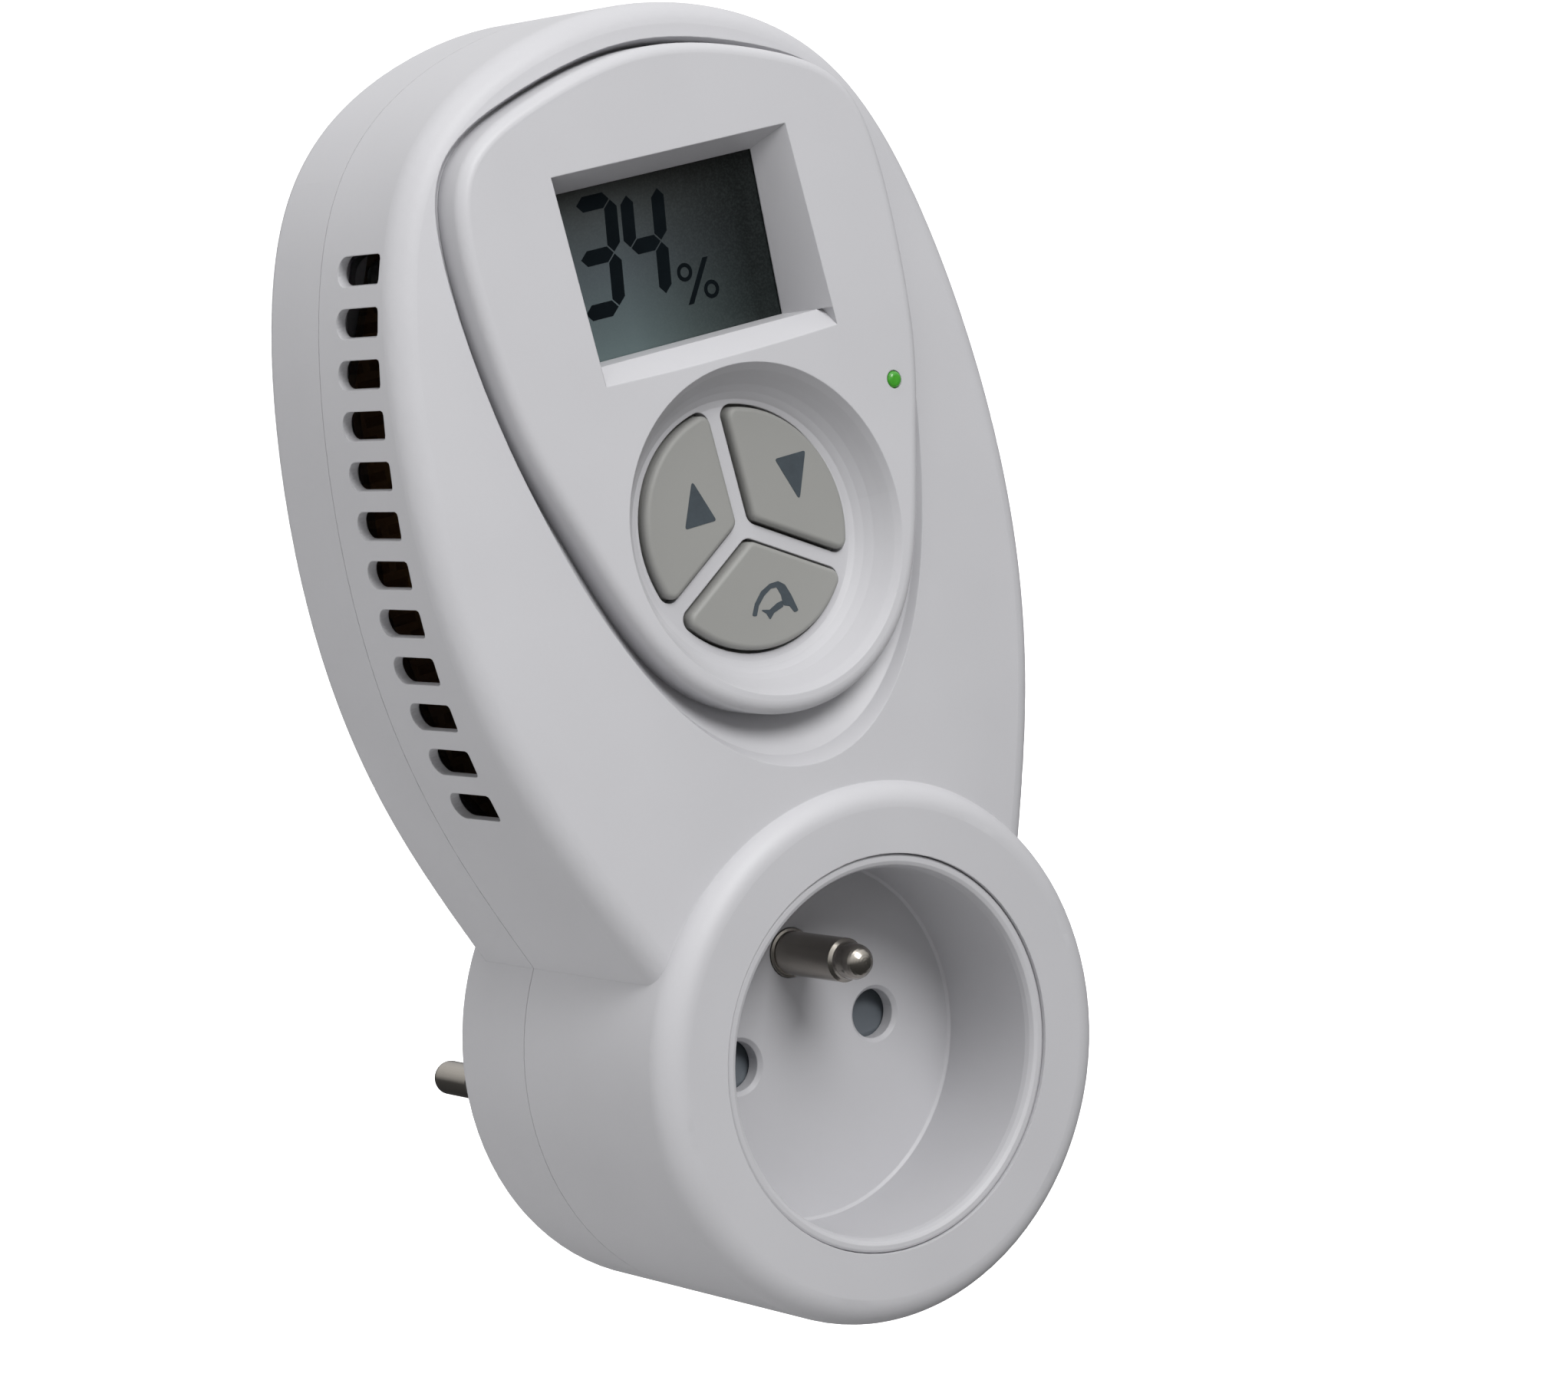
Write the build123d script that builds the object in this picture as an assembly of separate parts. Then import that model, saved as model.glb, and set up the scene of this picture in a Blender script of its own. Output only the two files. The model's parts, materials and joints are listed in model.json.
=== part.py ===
from build123d import *
import math
import os

# Plug-in switching meter: an egg-shaped body with display and keys above a
# round housing with a through socket in front and a plug at the back.
# Working frame (mm): origin at the centre of the socket's front face, +X to
# the viewer's right, +Y into the wall, +Z up. At export every piece moves so
# that the origin is the centre of the plug's engagement face.

os.makedirs("parts", exist_ok=True)

# ------------------------------------------------------- driving dimensions
SIDES = (1, -1)            # right and left, or up and down

WALL = 2.2                 # casing wall
SLOPE = 0.1071             # front leans back this much per mm of height
PANEL_Y = 5.22             # leaning reference plane at height REF_Z
REF_Z = 75.0
SHELL_CROWN_R = 160.0      # crown radius across the shell front
LONG_CROWN_R = 810.0       # crown radius along the shell front
CROWN_MID_Z = 60.0         # height at which the long crown is centred
PANEL_CROWN_R = 420.0      # the display panel is nearly flat
SHELL_SET = 0.8            # shell front lies this far behind the leaning plane
PANEL_SET = -0.3           # panel front stands this far ahead of it
PARTING_Y = 26.5           # plane where the two casing halves meet
HALF_GAP = 0.05            # hairline between the halves
REAR_Y = PARTING_Y + HALF_GAP
BACK_Y = 37.2              # back of the egg-shaped body
RIM_R = 3.0                # rounding of the front rim
BACK_R = 1.2               # rounding of the rear edges

SOCKET_R = 29.25           # round socket housing
SOCKET_BACK_Y = 39.8       # back of the round housing
INSERT_R = 21.35           # seam ring between housing and recess insert
RECESS_R = 19.75           # socket recess
FLOOR_Y = 14.85            # recess floor
INSERT_BACK_Y = FLOOR_Y + 2.0
PIN_PITCH = 19.0           # contact spacing of socket and plug
PIN_X = PIN_PITCH / 2
EARTH_UP = 10.0            # earth pin above the contact line

PLUG_Z = -8.0              # plug centre, below the socket centre
PLUG_EARTH_Z = PLUG_Z + EARTH_UP
PLUG_R = 18.6              # plug boss
PLUG_DEPTH = 18.7          # boss beyond the back of the round housing
PLUG_PIN_R = 2.4
PLUG_PIN_OUT = 19.3        # pin length beyond the engagement face
FACE_Y = SOCKET_BACK_Y + PLUG_DEPTH   # engagement face of the plug

DISH_Z = 57.4              # centre of the key dish
CUP_D = 6.2                # depth of the back of the dish's floor
DISH_DEEP = 4.7
KEY_R = 12.8               # outer radius of the three keys
KEY_HOLE_GAP = 0.35        # running gap round each key
WEB = 2.3                  # web between keys
KEY_PROUD = 1.0            # keys stand this far above the dish floor
KEY_ANGLES = {"key_up": 150, "key_down": 30, "key_return": 270}
KEY_STEM_OUT = 7.2         # key stem from the dish centre
STEM_END_Y = 12.75         # back of the key stems

WIN_HALF = 15.2            # display window, at the front
WIN_TOP = 97.7
WIN_LOW = 77.8
SILL_LOW = 75.7            # lower edge of the sloped sill
GLASS_Y = 12.0             # back of the window funnel, just ahead of the glass
LCD_HALF = 13.1            # display opening at the glass
LCD_TOP = 95.6
LED_X, LED_Z, LED_R = 20.9, 68.7, 0.9

DISPLAY_BOARD_Y = 17.2     # component face of the display board
MAIN_BOARD_Y = 31.6        # component face of the main board
BOARD_T = 1.6
BLOCK_Y = 28.9             # rear ends of the insert's bosses
BLOCK_T = 2.0
EARTH_PLATE_Y = 35.6       # front of the earth strap
EARTH_PLATE_T = 0.8


def both_sides(*points):
    """Each (x, z) point and its mirror image on the left."""
    return [(side * x, z) for x, z in points for side in SIDES]


# Screw places, (x, z) on the right-hand side
POST_TOP = (25.6, 99.3)    # casing screw posts
POST_LOW = (23.0, -11.5)
EAR = (24.5, 3.0)          # screwed ears of the socket insert
BOARD_FOOT = (13.5, 40.5)  # shell posts at the foot of the display board
BLOCK_SCREWS = [(16.6, -9.5), (15.2, 12.8)]
PANEL_POSTS = both_sides((19.6, 99.3), (21.0, 73.4))
DISPLAY_SCREWS = PANEL_POSTS + both_sides(BOARD_FOOT)
MAIN_SCREW_X = 22.5
MAIN_SCREW_Z = (46.0, 90.0)
MAIN_SCREWS = both_sides(*[(MAIN_SCREW_X, z) for z in MAIN_SCREW_Z])
PILOT_R = 1.1              # pilot hole of the small screws
SCREW_SINK = 4.0           # casing screw seats below the back surface
SCREW_GAP = 0.02           # between a screw head and its seat

# Outlines: (x, z) points of the right-hand half
BODY = [  # egg-shaped body, bottom to top
    (24.27, 13.23), (28.51, 22.34), (32.91, 33.46), (35.91, 45.08), (37.26, 56.95),
    (37.16, 68.94), (35.78, 80.92), (33.48, 90.61), (30.86, 97.12), (27.59, 102.08),
    (23.23, 106.16), (18.08, 109.19), (11.46, 111.60), (3.9, 113.0)]
RECESS = [  # mouth of the panel recess, bottom to top
    (0.0, 32.2), (4.06, 32.78), (7.68, 34.31), (10.94, 36.64), (16.16, 42.68), (20.77, 51.57),
    (23.95, 61.08), (26.19, 70.80), (27.54, 80.71), (27.92, 88.63), (27.69, 93.69),
    (26.93, 97.58), (25.08, 101.13), (22.10, 103.66), (16.56, 106.10), (9.84, 108.06),
    (0.0, 109.33)]
PANEL_FULL = [  # display panel before its upper part is eased, round about the dish
    (0.0, 38.0), (3.16, 38.26), (6.12, 38.99), (9.04, 40.24), (14.34, 44.34), (18.95, 52.10),
    (22.35, 61.40), (25.55, 70.90), (27.06, 80.70), (27.47, 88.60), (27.25, 93.60),
    (26.50, 97.40), (24.75, 100.80), (21.90, 103.25), (16.42, 105.68), (9.74, 107.62),
    (0.0, 108.88)]
PANEL_EASE = 0.33          # the upper part is moved inward by this


# ------------------------------------------------------------ basic solids
def box(x_a, x_b, y_a, y_b, z_a, z_b):
    """Block between pairs of limits, each pair in either order."""
    low = (min(x_a, x_b), min(y_a, y_b), min(z_a, z_b))
    block = Solid.make_box(abs(x_b - x_a), abs(y_b - y_a), abs(z_b - z_a))
    return block.moved(Location(low))


def cyl_y(x, z, radius, y_front, y_back):
    plane = Plane(origin=(x, y_front, z), x_dir=(1, 0, 0), z_dir=(0, 1, 0))
    return Solid.make_cylinder(radius, y_back - y_front, plane)


def cyl_z(x, y, radius, z_low, z_top):
    plane = Plane(origin=(x, y, z_low), z_dir=(0, 0, 1))
    return Solid.make_cylinder(radius, z_top - z_low, plane)


def pull(points, vector):
    """Closed polygon of 3D points pulled along a vector."""
    return Solid.extrude(Face(Wire.make_polygon(points, close=True)), Vector(*vector))


def prism_x(points, x_start, x_end):
    """Polygon of (y, z) points pulled along X."""
    return pull([(x_start, y, z) for y, z in points], (x_end - x_start, 0, 0))


def prism_y(points, y_front, y_back):
    """Polygon of (x, z) points pulled along Y."""
    return pull([(x, y_front, z) for x, z in points], (0, y_back - y_front, 0))


def revolve_y(profile, x, z):
    """Profile of (radius, y) points turned about a Y axis through (x, z)."""
    wire = Wire.make_polygon([(x + radius, y, z) for radius, y in profile], close=True)
    return Solid.revolve(Face(wire), 360, Axis((x, 0, z), (0, 1, 0)))


def biggest(shape):
    return max(shape.solids(), key=lambda solid: solid.volume)


def front_edges(shape, y_limit, min_length=0):
    return [e for e in shape.edges() if e.length >= min_length and e.center().Y < y_limit]


def back_edges(shape, y_limit, min_length=0):
    return [e for e in shape.edges() if e.length >= min_length and e.center().Y > y_limit]


def through_edges(shape, length):
    """Straight edges that run the given length along Y."""
    return [e for e in shape.edges()
            if e.geom_type == GeomType.LINE and abs(abs((e @ 1 - e @ 0).Y) - length) < 0.01]


# --------------------------------------------- leaning plane and crowned fronts
LEAN_LENGTH = math.sqrt(1 + SLOPE * SLOPE)
LEAN_IN = Vector(0, 1 / LEAN_LENGTH, -SLOPE / LEAN_LENGTH)   # into the casing
LEAN_UP = Vector(0, SLOPE / LEAN_LENGTH, 1 / LEAN_LENGTH)    # up the plane


def plane_y(z):
    """Y of the leaning reference plane at height z."""
    return PANEL_Y + SLOPE * (z - REF_Z)


def shell_depth(x, z, setback):
    """Depth of the shell's crowned surface behind the leaning plane."""
    return (setback + x * x / (2 * SHELL_CROWN_R)
            + (z - CROWN_MID_Z) ** 2 / (2 * LONG_CROWN_R))


def front_tool(setback):
    """Everything ahead of the shell's crowned surface, as one solid."""
    columns = [-52 + 104 * i / 12 for i in range(13)]
    rows = [-45 + 180 * j / 18 for j in range(19)]
    grid = [[(x, plane_y(z) + shell_depth(x, z, setback), z) for z in rows] for x in columns]
    face = Face.make_surface_from_array_of_points(grid, tol=1e-3, min_deg=3, max_deg=3)
    return Solid.extrude(face, Vector(0, -60, 0))


def panel_core(setback):
    """Long drum whose near side is the panel's slightly crowned surface."""
    foot = Vector(0, PANEL_Y + setback, REF_Z) + LEAN_IN * PANEL_CROWN_R - LEAN_UP * 150
    return Solid.make_cylinder(PANEL_CROWN_R, 300,
                               Plane(origin=foot, x_dir=(1, 0, 0), z_dir=LEAN_UP))


def leaning_loop(right, depth):
    """Closed smooth wire through a half outline and its mirror image,
    at a depth behind the leaning plane."""
    points = right + [(-x, z) for x, z in reversed(right[1:-1])]
    points = [Vector(x, plane_y(z) + depth, z) for x, z in points]
    return Wire([Edge.make_spline(points, periodic=True)])


def leaning_prism(right, front_depth, back_depth):
    face = Face(leaning_loop(right, front_depth))
    return Solid.extrude(face, Vector(0, back_depth - front_depth, 0))


def leaning_slab(depth, reach):
    """Block behind the keys' area, pulled from a leaning face by reach along Y."""
    corners = [(-25, 30), (25, 30), (25, 90), (-25, 90)]
    return pull([(x, plane_y(z) + depth, z) for x, z in corners], (0, reach, 0))


# ------------------------------------------------------------------ outlines
def shrink_open(points, inset):
    """Open right-hand outline, bottom to top, moved inward along its normals."""
    moved = []
    for i, (x, z) in enumerate(points):
        x_before, z_before = points[max(i - 1, 0)]
        x_after, z_after = points[min(i + 1, len(points) - 1)]
        step_x, step_z = x_after - x_before, z_after - z_before
        step = math.hypot(step_x, step_z)
        moved.append((x - inset * step_z / step, z + inset * step_x / step))
    return moved


def grow(right, outset):
    """Half outline that ends on the centre line, bottom to top, moved outward."""
    moved = []
    last = len(right) - 1
    for i, (x, z) in enumerate(right):
        x_before, z_before = right[i - 1] if i > 0 else (-right[1][0], right[1][1])
        x_after, z_after = right[i + 1] if i < last else (-right[last - 1][0],
                                                          right[last - 1][1])
        step_x, step_z = x_after - x_before, z_after - z_before
        step = math.hypot(step_x, step_z)
        moved.append((x + outset * step_z / step if 0 < i < last else 0.0,
                      z - outset * step_x / step))
    return moved


def ease_top(right, inset):
    """Upper part of the outline moved inward, to open the groove there."""
    moved = []
    for (x, z), (inner_x, inner_z) in zip(right, grow(right, -inset)):
        share = min(1.0, max(0.0, (z - 60.0) / 15.0))
        moved.append((x + (inner_x - x) * share, z + (inner_z - z) * share))
    return moved


PANEL = ease_top(PANEL_FULL, PANEL_EASE)


def body_prism(inset, y_front, y_back):
    """Egg-shaped body, closed below by straight lines inside the housing."""
    low_z = 5.0
    right = shrink_open(BODY, inset)
    points = [(x, y_front, z) for x, z in right]
    points += [(-x, y_front, z) for x, z in reversed(right)]
    start, end = Vector(*points[0]), Vector(*points[-1])
    low_left = Vector(end.X + 3.0, y_front, low_z)
    low_right = Vector(start.X - 3.0, y_front, low_z)
    wire = Wire([Edge.make_spline([Vector(*p) for p in points]),
                 Edge.make_line(end, low_left), Edge.make_line(low_left, low_right),
                 Edge.make_line(low_right, start)])
    return Solid.extrude(Face(wire), Vector(0, y_back - y_front, 0))


def casing_prism(inset, y_front, y_back):
    """Body and round housing together."""
    return (body_prism(inset, y_front, y_back)
            + cyl_y(0, 0, SOCKET_R - inset, y_front, y_back))


def casing_band(outer_inset, inner_inset, y_front, y_back):
    return (casing_prism(outer_inset, y_front, y_back)
            - casing_prism(inner_inset, y_front - 1, y_back + 1))


# --------------------------------------------------------------- front shell
LEDGE_D = 4.8              # depth of the ledge that the panel rests on
LEDGE_BACK = 6.7
LIP_D = 2.9                # foot of the scoop's short steep lip
MOUTH_D = 1.2              # top of the lip
VENT_WALL = 1.1            # flank wall where the vents pass through it
SLOT_N = 12                # ventilation slots on each flank
SLOT_TOP_Z = 92.3
SLOT_PITCH = 5.12
SLOT_H = 3.0
SLOT_L = 8.2

SHELL_POSTS = [  # place, radius, front y, back y
    (POST_TOP, 2.8, 14.0, PARTING_Y), (POST_LOW, 2.8, 2.0, PARTING_Y),
    (BOARD_FOOT, 2.4, 7.0, DISPLAY_BOARD_Y), (EAR, 2.3, 2.0, 4.3)]
SHELL_BORES = [  # place, radius, front y, back y
    (POST_TOP, 1.3, 17.0, PARTING_Y + 1), (POST_LOW, 1.3, 16.0, PARTING_Y + 1),
    (BOARD_FOOT, PILOT_R, 11.0, DISPLAY_BOARD_Y + 1), (EAR, PILOT_R, 1.3, 5)]


def cut_panel_pocket(shell):
    """Pocket for the panel: sloped scoop below, close fit above."""
    floor_loop = grow(PANEL, 0.08)
    mouth_loop, lip_loop = [], []
    for (rim_x, rim_z), (floor_x, floor_z) in zip(RECESS, floor_loop):
        surface = shell_depth(rim_x, rim_z, SHELL_SET)
        lip = max(0.8, (LEDGE_D - LIP_D) / (LEDGE_D - surface))
        if surface < 2.5:
            mouth = lip + (1 - lip) * (LIP_D - MOUTH_D) / (LIP_D - surface)
        else:
            mouth = (LEDGE_D - MOUTH_D) / (LEDGE_D - surface)
        for share, loop in ((mouth, mouth_loop), (lip, lip_loop)):
            loop.append((floor_x + (rim_x - floor_x) * share if rim_x > 0 else 0.0,
                         floor_z + (rim_z - floor_z) * share))
    shell = shell - Solid.make_loft(
        [leaning_loop(lip_loop, LIP_D), leaning_loop(floor_loop, LEDGE_D)], ruled=True)
    shell = shell - Solid.make_loft(
        [leaning_loop(mouth_loop, MOUTH_D), leaning_loop(lip_loop, LIP_D)], ruled=True)
    shell = shell - leaning_prism(mouth_loop, -8, MOUTH_D + 0.01)
    return shell - leaning_prism(grow(PANEL, -1.85), 1.0, 14.0)


def vent_slot(z, y_front, side):
    """Slot with a nearly square front end and a round back end."""
    half = SLOT_H / 2
    centre_y = y_front + SLOT_L - half
    points = [(y_front + 0.5, z - half), (y_front + 0.12, z - half + 0.15),
              (y_front, z - half + 0.5), (y_front, z + half - 0.5),
              (y_front + 0.12, z + half - 0.15), (y_front + 0.5, z + half)]
    for k in range(13):
        angle = math.pi / 2 - math.pi * k / 12
        points.append((centre_y + half * math.cos(angle), z + half * math.sin(angle)))
    slot = prism_x(points, 28.5, 42.5)
    return slot if side > 0 else slot.mirror(Plane.YZ)


def front_shell():
    body = body_prism(0, -6, PARTING_Y) - front_tool(SHELL_SET)
    body = body.fillet(RIM_R, front_edges(body, PARTING_Y - 5, min_length=150))
    housing = cyl_y(0, 0, SOCKET_R, 0, PARTING_Y)
    housing = housing.fillet(RIM_R, front_edges(housing, 0.01))
    outer = biggest(body + housing)
    cavity = ((body_prism(WALL, -6, PARTING_Y + 1) - front_tool(SHELL_SET + WALL))
              + cyl_y(0, 0, SOCKET_R - WALL, 2.4, PARTING_Y + 1))
    shell = outer - cavity

    # ledge ring that carries the panel, then posts
    shell = shell + (leaning_prism(grow(RECESS, 1.7), 0.4, LEDGE_BACK) & outer)
    for place, radius, y_front, y_back in SHELL_POSTS:
        for x, z in both_sides(place):
            shell = shell + (cyl_y(x, z, radius, y_front, y_back) & outer)

    shell = cut_panel_pocket(shell)
    shell = shell - cyl_y(0, 0, INSERT_R, -1, 3.0)

    # thinner flank walls, then the vents
    thin = body_prism(VENT_WALL, 12.0, 24.5) - body_prism(WALL + 0.05, 11.0, 25.5)
    for x in (20, -45):
        reach = prism_x([(12.8, 33.5), (24.5, 33.5), (24.5, 95.5), (15.4, 95.5)], x, x + 25)
        shell = shell - (thin & reach)
    for i in range(SLOT_N):
        z = SLOT_TOP_Z - i * SLOT_PITCH
        slot_y = 13.3 + (z - 36.0) * 0.0286
        for side in SIDES:
            shell = shell - vent_slot(z, slot_y, side)

    # screw bores and the rabbet for the rear shell's tongue
    for side in SIDES:
        for (x, z), radius, y_front, y_back in SHELL_BORES:
            shell = shell - cyl_y(side * x, z, radius, y_front, y_back)
    shell = shell - casing_band(1.15, WALL + 0.1, PARTING_Y - 1.9, PARTING_Y + 1)
    return biggest(shell)


# ---------------------------------------------------------------- rear shell
def rear_shell():
    body = body_prism(0, REAR_Y, BACK_Y)
    body = body.fillet(BACK_R, back_edges(body, BACK_Y - 0.1, min_length=150))
    housing = cyl_y(0, 0, SOCKET_R, REAR_Y, SOCKET_BACK_Y)
    housing = housing.fillet(BACK_R, back_edges(housing, SOCKET_BACK_Y - 0.1))
    boss = cyl_y(0, PLUG_Z, PLUG_R, SOCKET_BACK_Y - 0.5, FACE_Y)
    boss = boss.fillet(2.2, back_edges(boss, FACE_Y - 0.1))
    rear = body + housing + boss
    rear = rear - (body_prism(WALL, REAR_Y - 1, BACK_Y - WALL)
                   + cyl_y(0, 0, SOCKET_R - WALL, REAR_Y - 1, SOCKET_BACK_Y - WALL))
    rear = rear - cyl_y(0, PLUG_Z, 16.4, 36.0, FACE_Y - 3.2)
    rear = rear + casing_band(1.25, WALL, PARTING_Y - 1.8, REAR_Y + 0.01)

    # side guide grooves of the plug boss, each backed by a block
    for side in SIDES:
        rear = rear + box(side * 13.6, side * 17.4, 40.5, FACE_Y - 2,
                          PLUG_Z - 4.2, PLUG_Z + 4.2)
        rear = rear - box(side * 16.1, side * 20, 43.0, FACE_Y + 1,
                          PLUG_Z - 2.75, PLUG_Z + 2.75)
    # openings for the earth clips, above and below
    for up in SIDES:
        inner_z = PLUG_Z + up * 15.0
        rear = rear - box(-2.8, 2.8, 40.2, 57.2, inner_z, PLUG_Z + up * 19.5)
        rear = rear - box(-2.8, 2.8, 37.0, 41.0, inner_z, PLUG_Z + up * 17.6)
    # holes for the plug pins and the earth tube
    for side in SIDES:
        rear = rear - cyl_y(side * PIN_X, PLUG_Z, PLUG_PIN_R + 0.03, 50, FACE_Y + 1)
    rear = rear - cyl_y(0, PLUG_EARTH_Z, 3.3, 50, FACE_Y - 0.8)
    rear = rear - cyl_y(0, PLUG_EARTH_Z, 2.7, 50, FACE_Y + 1)

    envelope = (body_prism(0, -6, BACK_Y) + cyl_y(0, 0, SOCKET_R, -6, SOCKET_BACK_Y)
                + cyl_y(0, PLUG_Z, PLUG_R, 30, FACE_Y))
    rear = biggest(rear & envelope)

    # short posts for the main board, and casing screw posts with sunk seats
    for side in SIDES:
        x = side * MAIN_SCREW_X
        for z in MAIN_SCREW_Z:
            rear = rear + cyl_y(x, z, 2.6, MAIN_BOARD_Y + BOARD_T, BACK_Y - WALL + 0.3)
            rear = rear - cyl_y(x, z, PILOT_R, MAIN_BOARD_Y, BACK_Y - 1.0)
        for (post_x, z), back in ((POST_TOP, BACK_Y), (POST_LOW, SOCKET_BACK_Y)):
            x = side * post_x
            rear = biggest(rear + cyl_y(x, z, 3.3, REAR_Y + 0.3, back - 1.6))
            rear = biggest(rear - cyl_y(x, z, 1.6, 20, back - 3.5))
            rear = biggest(rear - cyl_y(x, z, 2.9, back - SCREW_SINK, back + 1))
    return biggest(rear)


# --------------------------------------------------------------- front panel
DISH_Y = plane_y(DISH_Z)
FUNNEL_WALL = 1.4

# Profiles about the dish's axis, (radius, depth)
DISH_KEEP = [(0, CUP_D - 0.2), (15.6, CUP_D - 0.2), (18.6, 3.0), (18.6, -3.0), (0, -3.0)]
DISH_CUP = [(0, CUP_D), (14.8, CUP_D), (16.55, 4.9), (16.55, 4.0), (0, 4.0)]
DISH_HOLLOW = [(0, DISH_DEEP), (13.5, DISH_DEEP), (14.2, 4.45), (14.9, 3.8), (15.6, 2.9),
               (16.2, 1.9), (16.8, 0.8), (17.5, -0.3), (18.2, -1.4), (0, -1.4)]


def dish_revolve(profile):
    """(radius, depth) profile turned about the dish's own leaning axis."""
    centre = Vector(0, DISH_Y, DISH_Z)
    points = [centre + Vector(radius, 0, 0) + LEAN_IN * depth for radius, depth in profile]
    return Solid.revolve(Face(Wire.make_polygon(points, close=True)), 360,
                         Axis(centre, LEAN_IN))


def window_taper(margin, depth, y_back):
    """Block tapering from the window to the display opening, grown by a margin."""
    low, top = WIN_LOW - margin, WIN_TOP + margin
    half, back_half, back_top = WIN_HALF + margin, LCD_HALF + margin, LCD_TOP + margin
    front = [(-half, low), (half, low), (half, top), (-half, top)]
    back = [(-back_half, low), (back_half, low), (back_half, back_top), (-back_half, back_top)]
    return Solid.make_loft([
        Wire.make_polygon([(x, plane_y(z) + depth, z) for x, z in front], close=True),
        Wire.make_polygon([(x, y_back, z) for x, z in back], close=True)], ruled=True)


def cut_window(plate):
    ahead = 6
    plate = plate - window_taper(0, 0.0, GLASS_Y)
    plate = plate - prism_y([(-WIN_HALF, WIN_LOW), (WIN_HALF, WIN_LOW), (WIN_HALF, WIN_TOP),
                             (-WIN_HALF, WIN_TOP)], -ahead, plane_y(WIN_LOW) + 0.02)
    opening = [(plane_y(z) + 0.01, z) for z in (WIN_LOW, WIN_TOP)]
    opening += [(plane_y(z) - ahead, z) for z in (WIN_TOP, WIN_LOW)]
    plate = plate - prism_x(opening, -WIN_HALF, WIN_HALF)
    sill = [(plane_y(SILL_LOW) - 0.28, SILL_LOW), (plane_y(WIN_LOW) + 2.0, WIN_LOW + 0.01),
            (plane_y(WIN_LOW) - ahead, WIN_LOW + 0.01), (plane_y(SILL_LOW) - ahead, SILL_LOW)]
    return plate - prism_x(sill, -WIN_HALF, WIN_HALF)


def key_sector(angle, radius, half_web, y_front, y_back, corner):
    """Rounded 120 degree sector about the dish centre, pulled along Y."""
    middle = math.radians(angle)
    apex = half_web / math.sin(math.radians(60))
    apex_x, apex_z = apex * math.cos(middle), DISH_Z + apex * math.sin(middle)
    points = [(apex_x, apex_z)]
    for turn in (-60, -30, 0, 30, 60):
        ray = middle + math.radians(turn)
        points.append((apex_x + 30 * math.cos(ray), apex_z + 30 * math.sin(ray)))
    sector = prism_y(points, y_front, y_back) & cyl_y(0, DISH_Z, radius, y_front, y_back)
    sector = biggest(sector)
    return sector.fillet(corner, through_edges(sector, y_back - y_front))


def front_panel():
    plate = leaning_prism(PANEL, -4, LEDGE_D - 0.1) & panel_core(PANEL_SET)
    plate = plate.fillet(1.3, front_edges(plate, plane_y(108.9) + 2.0, min_length=100))
    hollow = leaning_prism(grow(PANEL, -1.7), -4, LEDGE_D + 1) & panel_core(PANEL_SET + 2.0)
    hollow = hollow - dish_revolve(DISH_KEEP)
    plate = plate - hollow
    plate = plate + dish_revolve(DISH_CUP)
    funnel = window_taper(FUNNEL_WALL, 1.0, GLASS_Y - 0.1)
    plate = plate + (funnel & panel_core(PANEL_SET + 0.5))
    for x, z in PANEL_POSTS:
        plate = plate + (cyl_y(x, z, 2.15, 4.0, DISPLAY_BOARD_Y)
                         & panel_core(PANEL_SET + 0.5))
    plate = cut_window(plate)
    plate = plate - dish_revolve(DISH_HOLLOW)
    for angle in KEY_ANGLES.values():
        plate = plate - key_sector(angle, KEY_R + KEY_HOLE_GAP, WEB / 2 - KEY_HOLE_GAP,
                                   DISH_Y - 3, DISH_Y + 12, 1.35)
    plate = plate - cyl_y(LED_X, LED_Z, LED_R + 0.08, 0, 12)
    for x, z in PANEL_POSTS:
        plate = plate - cyl_y(x, z, PILOT_R, 11.0, DISPLAY_BOARD_Y + 1)
    return biggest(plate)


# ---------------------------------------------------------------------- keys
KEY_FRONT_D = DISH_DEEP - KEY_PROUD
FLANGE_D = CUP_D + 0.15
KEY_BACK_D = 7.5


def stem_place(angle):
    turn = math.radians(angle)
    return KEY_STEM_OUT * math.cos(turn), DISH_Z + KEY_STEM_OUT * math.sin(turn)


def key(angle):
    """Rounded cap with a wider flange behind the dish floor and a round stem."""
    cap = key_sector(angle, KEY_R, WEB / 2, DISH_Y - 8, DISH_Y + 9, 1.1)
    cap = cap - leaning_slab(KEY_FRONT_D, -30)
    rim = [e for e in front_edges(cap, DISH_Y + KEY_FRONT_D + 1.9)
           if e.geom_type != GeomType.LINE or abs((e @ 1 - e @ 0).Y) < 2.0]
    cap = cap.fillet(0.55, rim)
    flange = key_sector(angle, KEY_R + 0.9, WEB / 2 - 0.75, DISH_Y - 8, DISH_Y + 12, 1.4)
    flange = flange - leaning_slab(FLANGE_D, -30)
    whole = (cap + flange) - leaning_slab(KEY_BACK_D, 30)
    return biggest(whole + cyl_y(*stem_place(angle), 2.1, DISH_Y + 6.0, STEM_END_Y))


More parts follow.
